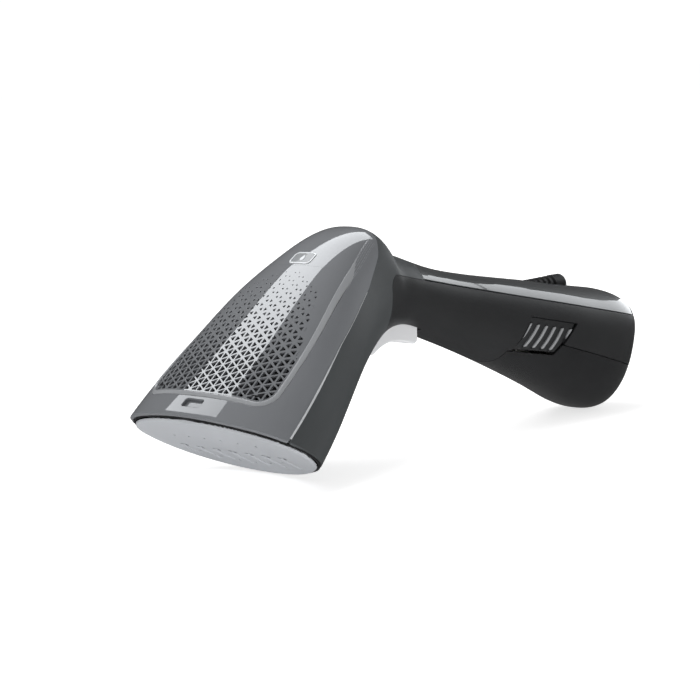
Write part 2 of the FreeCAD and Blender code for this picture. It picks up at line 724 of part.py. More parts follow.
tank_body_zone = prism(tank_outline(value("tank_gap")))
SLIDE = NECK.Rotation.multVec(Z_AXIS)
TANK_TOP = WALL + value("tank_gap")
bulkhead_side = moved(Part.makeBox(2 * BIG, 2 * BIG, BIG, Vector(-BIG, -BIG, 0)), NECK)
cavity_side = moved(Part.makeBox(2 * BIG, 2 * BIG, BIG, Vector(-BIG, -BIG, WALL)), NECK)
lid_line = [(190.0, slide_height(190.0) - TANK_TOP), (290.0, slide_height(290.0) - TANK_TOP),
            (290.0, -30.0), (190.0, -30.0)]
tongue = shell.common(tank_body_zone).cut(bulkhead_side)
hull = outer.common(tank_body_zone).common(bulkhead_side)
cavity = form(WALL, drop_last=2).common(prism(lid_line)).common(cavity_side)

NECK_LENGTH = 6.0
neck = Part.makeCylinder(value("neck_radius"), NECK_LENGTH + 0.5, Vector(0, 0, -NECK_LENGTH))
cage = Part.makeCylinder(4.2, 5.0, Vector(0, 0, 0))
neck_bore = Part.makeCylinder(1.8, 20.0, Vector(0, 0, -10.0))
valve_room = Part.makeCylinder(3.0, 6.0, Vector(0, 0, -2.0))
tank = hull.cut(cavity).fuse(tongue)
tank = tank.fuse(moved(neck.fuse(cage), NECK))
tank = tank.cut(moved(neck_bore.fuse(valve_room), NECK))

FILLER_Y = 233.6
FILLER = Vector(0, FILLER_Y, slide_height(FILLER_Y) - value("tank_gap"))
FILLER_TURN = Rotation(X_AXIS, -value("slide_drop"))
filler_hole = Part.makeCylinder(8.0, 12.0, Vector(0, 0, -8.0))
filler_seat = Part.makeCylinder(9.8, 2.0, Vector(0, 0, -1.3))
filler_notch = Part.makeBox(7.0, 16.0, 2.0, Vector(-3.5, 0, -1.3))
filler_hole = filler_hole.fuse([filler_seat, filler_notch])
tank = tank.cut(moved(filler_hole, Placement(FILLER, FILLER_TURN)))
keep("tank", feature("tank", max(tank.Solids, key=lambda s: s.Volume)))

plug_core = cylinder("plug_core", at(0, 0, -4.0), 7.7, 3.0)
plug_rim = cylinder("plug_rim", at(0, 0, -1.2), 9.5, 1.1)
plug_tab = block("plug_tab", at(-3.0, 6.0, -1.2), 6.0, 9.0, 1.0)
filler_plug = fuse("filler_plug", plug_core, plug_rim, plug_tab)
filler_plug.Placement = Placement(FILLER, FILLER_TURN)
keep("filler_plug", filler_plug)

valve_head = cylinder("valve_head", at(0, 0, -1.9), 2.6, 1.5)
valve_stem = cylinder("valve_stem", at(0, 0, -6.8), 1.2, 5.5)
valve_guide = cylinder("valve_guide", at(0, 0, -0.6), 1.2, 4.0)
valve = fuse("tank_valve", valve_head, valve_stem, valve_guide)
valve.Placement = NECK
keep("tank_valve", valve)
keep("tank_valve_spring", feature("tank_valve_spring", moved(
    spring(2.1, 0.3, 4.2, 4), NECK.multiply(at(0, 0, -0.35)))))

DOCK_END = -1.7
dock_snout = moved(Part.makeCylinder(6.5, 13.0, Vector(0, 0, DOCK_END - 13.0)), NECK)
dock_block = Part.makeBox(20.0, 12.5, 13.5, Vector(-10.0, 187.5, 44.0))
dock_port = Part.makeCylinder(2.2, 5.0, DOCK_PORT + Vector(0, -3.4, 0), Y_AXIS)
dock_socket = moved(Part.makeCylinder(4.45, 6.6, Vector(0, 0, DOCK_END - 6.4)), NECK)
dock_passage = moved(Part.makeCylinder(1.5, 5.0, Vector(0, 0, DOCK_END - 10.0)), NECK)
dock_way = Part.makeCylinder(1.2, 12.0, DOCK_PORT + Vector(0, -4.0, 0), Y_AXIS)
dock = dock_snout.fuse(dock_block).fuse(dock_port)
dock = dock.cut(dock_socket).cut(dock_passage).cut(dock_way)
keep("tank_dock", feature("tank_dock", max(dock.Solids, key=lambda s: s.Volume)))
dock_ring = Part.makeTorus(5.4, 0.55, Vector(0, 0, DOCK_END + 0.58))
keep("dock_seal", feature("dock_seal", moved(dock_ring, NECK)))

# ---------------------------------------------------------------- trigger and switch

PIVOT = (92.0, 66.8)
TRIGGER_HALF = value("trigger_half_width")
finger_side = [Vector(0, 86.0, 51.6), Vector(0, 89.0, 51.4), Vector(0, 94.8, 54.7),
               Vector(0, 99.5, 56.3), Vector(0, 104.5, 56.6), Vector(0, 110.9, 55.7),
               Vector(0, 116.4, 54.2)]
finger_curve = Part.BSplineCurve()
finger_curve.interpolate(finger_side[1:])
trigger_back = [finger_side[-1], Vector(0, 118.3, 55.6), Vector(0, 118.6, 64.6),
                Vector(0, 112.5, 66.0), Vector(0, 98.0, 66.0), Vector(0, 96.4, 70.0),
                Vector(0, 88.0, 70.0), Vector(0, 86.2, 64.0), Vector(0, 84.4, 56.0),
                finger_side[0], finger_side[1]]
trigger_edges = [finger_curve.toShape()]
for first, last in zip(trigger_back, trigger_back[1:]):
    trigger_edges.append(Part.makeLine(first, last))
trigger_face = Part.Face(Part.Wire(Part.__sortEdges__(trigger_edges)))
trigger_solid = trigger_face.extrude(Vector(2 * TRIGGER_HALF, 0, 0))
trigger_solid.translate(Vector(-TRIGGER_HALF, 0, 0))
finger_edges = [edge for edge in trigger_solid.Edges
                if edge.BoundBox.XLength < 0.01 and edge.BoundBox.ZMax < 57.5
                and edge.BoundBox.YMin > 85.0 and edge.BoundBox.YMax < 117.0]
trigger_solid = trigger_solid.makeFillet(1.0, finger_edges)
pin_bore = Part.makeCylinder(value("pin_radius") + 0.06, 60, Vector(-30, *PIVOT), X_AXIS)
keep("trigger", feature("trigger", trigger_solid.cut(pin_bore)))

pin = cylinder("trigger_pin", at(-12.5, *PIVOT, Y_AXIS, 90), "params.pin_radius", 25.0)
keep("trigger_pin", pin)

BRACKET_TOP = 78.0
bracket = Part.makeBox(24.4, 25.6, 2.0, Vector(-12.2, 89.0, BRACKET_TOP - 2.0))
for left in (-12.2, 9.8):
    cheek = Part.makeBox(2.4, 7.0, 13.6, Vector(left, 89.0, BRACKET_TOP - 13.7))
    bracket = bracket.fuse(cheek)
bracket = bracket.cut(Part.makeCylinder(value("pin_radius") + 0.01, 60,
                                        Vector(-30, *PIVOT), X_AXIS))
SPRING_Y = 111.6
SEAT_DROP = 4.1
seat = Part.makeCylinder(2.9, SEAT_DROP, Vector(0, SPRING_Y, BRACKET_TOP - SEAT_DROP))
bracket = bracket.fuse(seat).common(form(WALL + 0.3, overrun=0.12, drop_last=2))
keep("trigger_bracket", feature("trigger_bracket", pieces(bracket)))
keep("trigger_spring", feature("trigger_spring", moved(
    spring(2.4, 0.35, BRACKET_TOP - SEAT_DROP - 66.1, 5), at(0, SPRING_Y, 66.05))))

SWITCH_FOOT = 69.6
PLUNGER_Y = 104.5
switch_box = block("switch_box", at(-3.2, 97.6, SWITCH_FOOT), 6.4, 10.4,
                   BRACKET_TOP - 2.0 - SWITCH_FOOT)
switch_hole = cylinder("switch_hole", at(0, PLUNGER_Y, SWITCH_FOOT - 1), 1.58, 6.5)
switch_lugs = [cylinder(f"switch_lug_{i}", at(-5.2, 99.5 + 6.0 * i, 74.5, Y_AXIS, 90),
                        0.8, 10.4) for i in range(2)]
microswitch = cut("microswitch", fuse("switch_solid", switch_box, *switch_lugs), switch_hole)
keep("microswitch", microswitch)
switch_plunger = cylinder("switch_plunger", at(0, PLUNGER_Y, SWITCH_FOOT - 3.3), 1.5, 4.8)
keep("switch_plunger", switch_plunger)

# ---------------------------------------------------------------- electrics and cord entry

BOARD = Placement(Vector(-14.0, 206.0, 61.0), Rotation(X_AXIS, -9.0))
board_plate = block("board_plate", at(0, 0, 0), 28.0, 34.0, 1.6)
board_relay = block("board_relay", at(15.5, 20.0, -7.0), 10.0, 12.0, 7.0)
board_cap = cylinder("board_cap", at(6.0, 26.0, -9.0), 3.5, 9.0)
board = fuse("control_board", board_plate, board_relay, board_cap)
board.Placement = BOARD
keep("control_board", board)

terminal = block("terminal_block", at(-9.0, 244.0, 55.5, X_AXIS, -12.0), 18.0, 12.0, 7.0)
keep("terminal_block", terminal)

profile = [Vector(value("cord_radius"), 0, -1.8), Vector(4.6, 0, -1.8), Vector(4.6, 0, -0.1),
           Vector(4.1, 0, -0.1), Vector(4.1, 0, 3.4)]
GUARD_RIBS = 6
GUARD_PITCH = 3.6
for index in range(GUARD_RIBS):
    start = 3.4 + index * GUARD_PITCH
    crown = 4.7 + 0.06 * index
    profile += [Vector(4.1, 0, start), Vector(crown, 0, start + 0.35),
                Vector(crown, 0, start + 2.05), Vector(4.1, 0, start + 2.4)]
collar_start = 3.4 + GUARD_RIBS * GUARD_PITCH
guard_end = value("guard_length")
profile += [Vector(4.1, 0, collar_start), Vector(5.2, 0, collar_start + 0.4),
            Vector(5.2, 0, guard_end - 1.6), Vector(4.6, 0, guard_end - 0.4),
            Vector(4.2, 0, guard_end), Vector(value("cord_radius"), 0, guard_end)]
clean = [profile[0]]
for point in profile[1:]:
    if (point - clean[-1]).Length > 0.01:
        clean.append(point)
guard_face = Part.Face(Part.makePolygon(clean + clean[:1]))
guard = guard_face.revolve(Vector(0, 0, 0), Z_AXIS, 360)
keep("cord_guard", feature("cord_guard", moved(guard, GUARD)))

clamp = Part.makeBox(18.0, 4.0, 7.0, Vector(-9.0, 186.0, 69.0))
clamp = clamp.cut(Part.makeCylinder(3.4, 20.0, Vector(0, 180.0, 68.6), Y_AXIS))
CLAMP_SCREWS = (-6.6, 6.6)
clamp_bores = [Part.makeCylinder(value("screw_radius"), 20.0, Vector(x, 188.0, 60.0))
               for x in CLAMP_SCREWS]
keep("cord_clamp", feature("cord_clamp", clamp.cut(Part.makeCompound(clamp_bores))))
screws("clamp_screws", [at(x, 188.0, 69.0, X_AXIS, 180) for x in CLAMP_SCREWS], 6.5)

# ---------------------------------------------------------------- stand it on the table
# The steamer rests on the seal's lowest point and on the underside of the tank. The turn
# brings both down to z = 0, and the shift brings the middle of its length to y = 0.

REST = Placement(Vector(0, -value("origin_back"), -value("origin_drop")),
                 Rotation(X_AXIS, -value("rest_tilt")))
for obj in nodes.values():
    obj.Placement = REST.multiply(obj.Placement)

# ---------------------------------------------------------------- check and write

doc.recompute()
problems = [f"{obj.Name}: {obj.State}" for obj in doc.Objects
            if "Invalid" in obj.State or "Error" in obj.State]
for name, obj in nodes.items():
    if obj.Shape.isNull() or not obj.Shape.isValid() or not obj.Shape.Solids:
        problems.append(f"{name}: bad shape")
if problems:
    raise SystemExit("\n".join(problems))

os.makedirs("parts", exist_ok=True)
for name, obj in nodes.items():
    obj.Shape.exportStep(f"parts/{name}.step")
    box = obj.Shape.BoundBox
    print(f"{name:22s} {obj.Shape.Volume / 1000:8.2f} cm3  {len(obj.Shape.Solids)} solids  "
          f"y {box.YMin:7.1f} {box.YMax:7.1f}  z {box.ZMin:6.1f} {box.ZMax:6.1f}")
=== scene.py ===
"""Handheld garment steamer: the visible pieces, materials, lights and camera.

The shells are rebuilt from the stations of the CAD form, a little hollower at the nape, as
closed skins with rounded seams. Lengths are in millimetres in the design frame of the CAD
source, and to_row() takes them to the row frame in metres.
"""
import json
import math

import bpy
import numpy as np
from mathutils import Matrix, Vector


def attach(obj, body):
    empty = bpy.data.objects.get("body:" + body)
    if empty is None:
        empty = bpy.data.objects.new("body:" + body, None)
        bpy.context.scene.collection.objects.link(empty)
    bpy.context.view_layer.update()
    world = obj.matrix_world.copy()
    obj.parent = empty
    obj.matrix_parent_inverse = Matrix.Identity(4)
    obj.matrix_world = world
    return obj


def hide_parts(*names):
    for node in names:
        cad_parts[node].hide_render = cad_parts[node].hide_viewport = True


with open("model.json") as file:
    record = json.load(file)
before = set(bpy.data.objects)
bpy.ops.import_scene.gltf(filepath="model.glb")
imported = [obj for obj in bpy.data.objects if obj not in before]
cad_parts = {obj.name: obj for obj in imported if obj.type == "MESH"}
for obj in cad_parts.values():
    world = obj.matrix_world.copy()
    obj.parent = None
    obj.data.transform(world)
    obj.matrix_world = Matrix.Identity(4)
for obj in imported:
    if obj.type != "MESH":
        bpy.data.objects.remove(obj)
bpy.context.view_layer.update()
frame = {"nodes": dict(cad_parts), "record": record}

# ---------------------------------------------------------------- frames

REST_TILT = math.radians(1.317)
ORIGIN_BACK = 129.22
ORIGIN_DROP = 1.17
PANEL_PITCH = math.radians(42.3)
SOLE_LEAN = math.radians(31.7)
SOLE_HEIGHT = 19.0


def to_row(points):
    """Design frame in millimetres to the row frame in metres."""
    points = np.asarray(points, float)
    x, y, z = points[..., 0], points[..., 1], points[..., 2]
    turn_y = y * math.cos(REST_TILT) + z * math.sin(REST_TILT) - ORIGIN_BACK
    turn_z = -y * math.sin(REST_TILT) + z * math.cos(REST_TILT) - ORIGIN_DROP
    return np.stack([x, turn_y, turn_z], -1) / 1000


def turn_to_row(ways):
    """Direction of the design frame in the row frame."""
    return (to_row(ways) - to_row(np.zeros(3))) * 1000


def front_frame(points):
    """Across, up and out of the head's front, for points of the design frame."""
    y, z = points[..., 1], points[..., 2]
    up = y * math.cos(PANEL_PITCH) + z * math.sin(PANEL_PITCH)
    out = -y * math.sin(PANEL_PITCH) + z * math.cos(PANEL_PITCH)
    return points[..., 0], up, out


def from_sole(points):
    """Steam plate frame (z into the head) to the design frame."""
    points = np.asarray(points, float)
    x, y, z = points[..., 0], points[..., 1], points[..., 2]
    down = y * math.cos(SOLE_LEAN) + z * math.sin(SOLE_LEAN)
    rise = -y * math.sin(SOLE_LEAN) + z * math.cos(SOLE_LEAN) + SOLE_HEIGHT
    return np.stack([x, down, rise], -1)


# ---------------------------------------------------------------- outer form
# Each station: front y, z, back y, z, half width, split, fullness in front and behind.

STATIONS = np.array([
    (-19.9, 35.8, 31.3, 4.4, 60.3, 0.43, 2.3, 2.0),
    (2.0, 54.0, 40.0, 13.0, 55.0, 0.46, 3.1, 2.0),
    (21.0, 71.3, 50.5, 24.0, 49.0, 0.48, 3.4, 2.0),
    (40.5, 89.3, 62.5, 37.5, 42.0, 0.50, 3.4, 2.1),
    (57.5, 102.8, 76.0, 48.5, 34.5, 0.50, 3.0, 2.2),
    (73.5, 111.9, 88.0, 57.0, 28.8, 0.50, 2.7, 2.3),
    (87.2, 112.3, 97.5, 61.5, 25.6, 0.50, 2.5, 2.3),
    (93.4, 104.0, 103.5, 63.2, 24.0, 0.50, 2.4, 2.3),
    (103.5, 99.5, 108.5, 63.4, 22.8, 0.50, 2.3, 2.3),
    (114.5, 96.0, 114.5, 61.8, 21.6, 0.50, 2.2, 2.2),
    (130.0, 91.0, 125.0, 57.6, 20.8, 0.50, 2.2, 2.2),
    (148.0, 86.9, 142.0, 51.0, 20.7, 0.50, 2.2, 2.2),
    (170.0, 83.2, 164.5, 41.8, 22.0, 0.50, 2.2, 2.2),
    (196.0, 79.4, 191.5, 29.8, 24.6, 0.50, 2.2, 2.2),
    (222.0, 75.5, 217.0, 17.6, 27.2, 0.50, 2.2, 2.3),
    (242.0, 72.5, 235.0, 9.0, 28.0, 0.50, 2.2, 2.4),
    (257.0, 69.6, 248.0, 7.0, 26.8, 0.48, 2.3, 2.4),
    (268.0, 65.6, 256.5, 11.5, 23.5, 0.45, 2.4, 2.3),
    (274.4, 60.5, 263.5, 21.5, 18.0, 0.42, 2.4, 2.2),
    (277.2, 54.8, 270.0, 34.0, 10.5, 0.45, 2.2, 2.1),
    (277.6, 50.0, 275.0, 43.0, 3.0, 0.50, 2.0, 2.0)])


HALVINGS = 30


def smooth_through(knots, values):
    """Second derivatives of the natural cubic spline through values at knots."""
    count = len(knots)
    gap = np.diff(knots)
    system = np.eye(count)
    right = np.zeros_like(values)
    for i in range(1, count - 1):
        system[i, i - 1:i + 2] = gap[i - 1], 2 * (gap[i - 1] + gap[i]), gap[i]
        right[i] = 6 * ((values[i + 1] - values[i]) / gap[i]
                        - (values[i] - values[i - 1]) / gap[i - 1])
    return np.linalg.solve(system, right)


MIDDLES = (STATIONS[:, 0:2] + STATIONS[:, 2:4]) / 2
KNOTS = np.r_[0, np.cumsum(np.sqrt(np.linalg.norm(np.diff(MIDDLES, axis=0), axis=1)))]
BENDS = smooth_through(KNOTS, STATIONS)


def station(u):
    """Station values at places u along the body."""
    u = np.asarray(u, float)
    i = np.clip(np.searchsorted(KNOTS, u, side="right") - 1, 0, len(KNOTS) - 2)
    gap = (KNOTS[i + 1] - KNOTS[i])[..., None]
    b = ((u - KNOTS[i]) / gap[..., 0])[..., None]
    a = 1 - b
    curve = (a ** 3 - a) * BENDS[i] + (b ** 3 - b) * BENDS[i + 1]
    return a * STATIONS[i] + b * STATIONS[i + 1] + curve * gap ** 2 / 6


def around(u, turn):
    """Points of the form at places u and angles turn (from the underside, over +x)."""
    s = station(u)
    across, along = np.sin(turn), -np.cos(turn)
    power = 2 / np.where(along > 0, s[..., 6], s[..., 7])
    front = np.stack([np.zeros_like(s[..., 0]), s[..., 0], s[..., 1]], -1)
    back = np.stack([np.zeros_like(s[..., 0]), s[..., 2], s[..., 3]], -1)
    middle = front + (back - front) * s[..., 5:6]
    reach = np.where((along > 0)[..., None], front - middle, back - middle)
    points = middle + reach * (np.abs(along) ** power)[..., None]
    points[..., 0] += np.sign(across) * np.abs(across) ** power * s[..., 4]
    return points


def over_front(u, x):
    """Points of the form's front side at places u and distances x from the middle."""
    s = station(u)
    front = np.stack([np.zeros_like(s[..., 0]), s[..., 0], s[..., 1]], -1)
    back = np.stack([np.zeros_like(s[..., 0]), s[..., 2], s[..., 3]], -1)
    middle = front + (back - front) * s[..., 5:6]
    share = np.clip(np.abs(x) / s[..., 4], 0, 0.9999)
    rise = (1 - share ** s[..., 6]) ** (1 / s[..., 6])
    points = middle + (front - middle) * rise[..., None]
    points[..., 0] += x
    return points


def on_front(x, up):
    """Points of the form's front side at x across and up the front."""
    low = np.zeros_like(x)
    high = np.full_like(x, KNOTS[8])
    for _ in range(HALVINGS):
        half = (low + high) / 2
        below = front_frame(over_front(half, x))[1] < up
        low = np.where(below, half, low)
        high = np.where(below, high, half)
    return over_front(low, x)


def grid_normals(points):
    """Outward normals of a grid of points by central differences."""
    down = np.gradient(points, axis=0)
    side = np.gradient(points, axis=1)
    normals = np.cross(down, side)
    normals /= np.maximum(np.linalg.norm(normals, axis=-1, keepdims=True), 1e-12)
    return normals


def body_grid(u_first, u_last, rows, columns):
    """Evenly spaced grid of the form between two places, with outward normals."""
    u = np.linspace(u_first, u_last, rows)
    turn = np.linspace(0, 2 * math.pi, 1441)
    dense = around(np.repeat(u[:, None], len(turn), 1), np.repeat(turn[None], rows, 0))
    steps = np.linalg.norm(np.diff(dense, axis=1), axis=-1)
    length = np.concatenate([np.zeros((rows, 1)), np.cumsum(steps, axis=1)], axis=1)
    points = np.empty((rows, columns, 3))
    for row in range(rows):
        even = np.linspace(0, length[row, -1], columns)
        for axis in range(3):
            points[row, :, axis] = np.interp(even, length[row], dense[row, :, axis])
    wrapped = np.concatenate([points[:, -3:-1], points, points[:, 1:3]], axis=1)
    normals = grid_normals(wrapped)[:, 2:-2]
    return points, normals


# ---------------------------------------------------------------- how the shells part

BELT = [(-14.0, 20.6), (36.0, 64.2), (66.0, 86.8), (78.5, 100.0), (89.5, 118.0)]
COLLAR = 86.0
CORNER_ROUND = 6.0
STRIP_START = 113.5
STRIP_HEIGHT = 86.6
STRIP_SLOPE = -0.204
SLIDE_START, SLIDE_HEIGHT, SLIDE_DROP = 202.2, 46.9, math.radians(17.0)
TRIGGER_HALF_SLOT = 9.8
WINDOW_FOOT = 22.6
WINDOW_HALF_WIDTH = 42.5
WINDOW_CORNER = 8.0
CREST_REACH = 145.0


def strip_height(y):
    """Height of the seam between the grips and the strip along the handle's back."""
    return STRIP_HEIGHT + STRIP_SLOPE * (y - STRIP_START)


def slide_height(y):
    """Height of the seam along which the tank slides out."""
    return SLIDE_HEIGHT - math.tan(SLIDE_DROP) * (y - SLIDE_START)


FRONT_ZONE = BELT + [(-70.0, 118.0), (-70.0, 20.6)]
GRIP_CORNER = [(COLLAR + CORNER_ROUND * (1 - math.cos(angle)),
                strip_height(COLLAR + CORNER_ROUND) - CORNER_ROUND * (1 - math.sin(angle)))
               for angle in np.linspace(0, math.pi / 2 - 0.2, 7)]
GRIP_ZONE = ([(COLLAR, -40.0)] + GRIP_CORNER
             + [(300.0, strip_height(300.0)), (300.0, -40.0)])
STRIP_ZONE = [(STRIP_START, strip_height(STRIP_START)), (STRIP_START + 3.0, 130.0),
              (300.0, 130.0), (300.0, strip_height(300.0))]
TANK_ZONE = [(166.5, 28.0), (173.0, 45.6), (200.2, 41.2), (205.6, slide_height(205.6)),
             (290.0, slide_height(290.0)), (290.0, -30.0), (150.0, -30.0)]
BUTTON_WINDOW = [(185.6, 62.2), (216.8, 55.8), (200.6, 40.4), (174.6, 44.6)]
TRIGGER_SLOT = [(83.2, 38.0), (120.6, 38.0), (120.6, 68.0), (83.2, 68.0)]


def inside(outline, a, b):
    """Signed distance into a closed outline of the plane (a, b), positive inside."""
    corners = np.asarray(outline, float)
    nearest = np.full(a.shape, np.inf)
    crossings = np.zeros(a.shape, bool)
    for (a0, b0), (a1, b1) in zip(corners, np.roll(corners, -1, axis=0)):
        da, db = a1 - a0, b1 - b0
        share = np.clip(((a - a0) * da + (b - b0) * db) / (da * da + db * db), 0, 1)
        nearest = np.minimum(nearest, np.hypot(a - a0 - share * da, b - b0 - share * db))
        rise = db if abs(db) > 1e-12 else 1e-12
        crossings ^= ((b0 > b) != (b1 > b)) & (a < a0 + (b - b0) * da / rise)
    return np.where(crossings, nearest, -nearest)


def window_half_width(up):
    """Half width of the grille window, which narrows faster and faster to the crest."""
    rise = up - WINDOW_FOOT - WINDOW_CORNER
    return WINDOW_HALF_WIDTH - 0.035 * rise - 0.0019 * rise ** 2


def window_outline(grow):
    """Outline of the grille window on the front: wide foot, round corners, bowed sides."""
    foot, wide, corner = WINDOW_FOOT - grow, WINDOW_HALF_WIDTH + grow, WINDOW_CORNER + grow
    arc = [(wide - corner + corner * math.sin(angle), foot + corner - corner * math.cos(angle))
           for angle in np.linspace(0, math.pi / 2, 10)]
    side = [(window_half_width(up) + grow, up) for up in np.linspace(42.0, CREST_REACH, 12)]
    right = arc + side
    return right + [(-x, up) for x, up in reversed(right)]


def zone(outline):
    """Field of an outline drawn in the side view."""
    return lambda points: inside(outline, points[..., 1], points[..., 2])


def window(grow):
    """Field of the grille window, which is cut in the front side only."""
    outline = window_outline(grow)

    def field(points):
        x, up, out = front_frame(points)
        return np.where(out > 20, inside(outline, x, up), -20.0)
    return field


def both(*fields):
    """Field of what lies in all the fields."""
    return lambda points: np.minimum.reduce([field(points) for field in fields])


def without(*fields):
    """Field of what lies in none of the fields."""
    return lambda points: np.minimum.reduce([-field(points) for field in fields])


def one_side(sign):
    """Field of the right side (sign 1) or the left side (sign -1)."""
    return lambda points: sign * points[..., 0]


# ---------------------------------------------------------------- closed skins

def clip_cells(points, normals, field):
    """Faces of the grid where field > 0, cut exactly along field = 0."""
    field = np.where(np.abs(field) < 0.01, 0.01, field)
    rows, columns = field.shape
    solid = field > 0
    count = (solid[:-1, :-1].astype(int) + solid[1:, :-1] + solid[:-1, 1:] + solid[1:, 1:])
    vertices, vertex_normals, faces, known = [], [], [], {}

    def corner(i, j):
        key = (i, j)
        if key not in known:
            known[key] = len(vertices)
            vertices.append(points[i, j])
            vertex_normals.append(normals[i, j])
        return known[key]

    def crossing(first, last):
        key = (min(first, last), max(first, last))
        if key not in known:
            known[key] = len(vertices)
            share = field[first] / (field[first] - field[last])
            vertices.append(points[first] * (1 - share) + points[last] * share)
            vertex_normals.append(normals[first] * (1 - share) + normals[last] * share)
        return known[key]

    for i, j in zip(*np.nonzero(count)):
        ring = [(i, j), (i + 1, j), (i + 1, j + 1), (i, j + 1)]
        if count[i, j] == 4:
            faces.append([corner(*key) for key in ring])
            continue
        face = []
        for first, last in zip(ring, ring[1:] + ring[:1]):
            if solid[first]:
                face.append(corner(*first))
            if solid[first] != solid[last]:
                face.append(crossing(first, last))
        faces.append(face)
    vertex_normals = np.array(vertex_normals)
    vertex_normals /= np.linalg.norm(vertex_normals, axis=1, keepdims=True)
    return np.array(vertices), vertex_normals, faces


def weld(vertices, normals, faces, closeness=1e-4):
    """Join vertices that lie on each other."""
    keys = {}
    order = np.empty(len(vertices), int)
    kept = []
    for index, point in enumerate(np.round(vertices / closeness).astype(np.int64)):
        order[index] = keys.setdefault(tuple(point), len(keys))
        if order[index] == len(kept):
            kept.append(index)
    joined = []
    for face in faces:
        ring = [order[v] for v in face]
        ring = [v for n, v in enumerate(ring) if v != ring[n - 1]]
        if len(set(ring)) > 2:
            joined.append(ring)
    return vertices[kept], normals[kept], joined


def border(vertices, normals, faces):
    """Directed border edges and, for each border vertex, the way out along the surface."""
    edges = {}
    for face in faces:
        for first, last in zip(face, face[1:] + face[:1]):
            edges[(first, last)] = True
    rim = [(a, b) for a, b in edges if (b, a) not in edges]
    outward = np.zeros_like(vertices)
    for a, b in rim:
        way = np.cross(vertices[b] - vertices[a], normals[a] + normals[b])
        way /= max(np.linalg.norm(way), 1e-9)
        for v in (a, b):
            outward[v] += way
    for v in {v for edge in rim for v in edge}:
        outward[v] -= normals[v] * (outward[v] @ normals[v])
        length = max(np.linalg.norm(outward[v]), 1e-9)
        outward[v] *= min(2 / length ** 2, 1.4)
    return rim, outward


def closed_skin(name, grid, field, wall, lip=0.35, gap=0.1, steps=3):
    """Closed shell: the part of the grid where field > gap, with rounded outer edges."""
    points, normals = grid
    room = lip if callable(lip) else lambda places: np.full(places.shape[:-1], lip)
    vertices, vertex_normals, faces = clip_cells(points, normals,
                                                 field(points) - gap - room(points))
    vertices, vertex_normals, faces = weld(vertices, vertex_normals, faces)
    rim, outward = border(vertices, vertex_normals, faces)
    rim_vertices = sorted({v for edge in rim for v in edge})
    slots = {v: n for n, v in enumerate(rim_vertices)}
    lip = room(vertices[rim_vertices])[:, None]
    base, out, up = vertices[rim_vertices], outward[rim_vertices], vertex_normals[rim_vertices]
    profile = [(math.sin(a), 1 - math.cos(a)) for a in np.linspace(0, math.pi / 2, steps + 1)[1:]]
    rings = [(base + out * lip * o - up * lip * d, out * o + up * (1 - d)) for o, d in profile]
    unit_out = out / np.maximum(np.linalg.norm(out, axis=1, keepdims=True), 1e-9)
    rings.append((base + out * lip - up * wall, unit_out))
    all_vertices = [vertices] + [ring for ring, _ in rings] + [vertices - vertex_normals * wall]
    count = len(vertices)
    starts = [count + n * len(rim_vertices) for n in range(len(rings))]
    inner_start = count + len(rings) * len(rim_vertices)
    ring_normals = [way / np.maximum(np.linalg.norm(way, axis=1, keepdims=True), 1e-9)
                    for _, way in rings]
    polygons, corner_normals = [], []
    for face in faces:
        polygons.append(face)
        corner_normals += [vertex_normals[v] for v in face]
    for a, b in rim:
        sa, sb = slots[a], slots[b]
        low = (a, b, vertex_normals[a], vertex_normals[b])
        for level, start in enumerate(starts):
            high = (start + sa, start + sb, ring_normals[level][sa], ring_normals[level][sb])
            if level == len(starts) - 1:
                low = (low[0], low[1], high[2], high[3])
            polygons.append([low[1], low[0], high[0], high[1]])
            corner_normals += [low[3], low[2], high[2], high[3]]
            low = high
        under = (-vertex_normals[a], -vertex_normals[b])
        polygons.append([low[1], low[0], inner_start + a, inner_start + b])
        corner_normals += [under[1], under[0], under[0], under[1]]
    for face in faces:
        polygons.append([inner_start + v for v in reversed(face)])
        corner_normals += [-vertex_normals[v] for v in reversed(face)]
    return make_piece(name, np.concatenate(all_vertices), polygons, corner_normals)


def make_piece(name, vertices, faces, corner_normals=None):
    """Mesh object from design-frame points, with its own shading normals if given."""
    mesh = bpy.data.meshes.new(name)
    mesh.from_pydata(to_row(vertices).tolist(), [], faces)
    mesh.polygons.foreach_set("use_smooth", [True] * len(mesh.polygons))
    if corner_normals is not None:
        mesh.normals_split_custom_set([Vector(n) for n in turn_to_row(np.array(corner_normals))])
    piece = bpy.data.objects.new(name, mesh)
    bpy.context.scene.collection.objects.link(piece)
    return piece


def add(piece, body, slot, material, *nodes):
    """Give a finished piece its material, its body and the CAD nodes it stands for."""
    piece.data.materials.append(material)
    if nodes:
        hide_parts(*nodes)
    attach(piece, body)
    return piece


# ---------------------------------------------------------------- materials

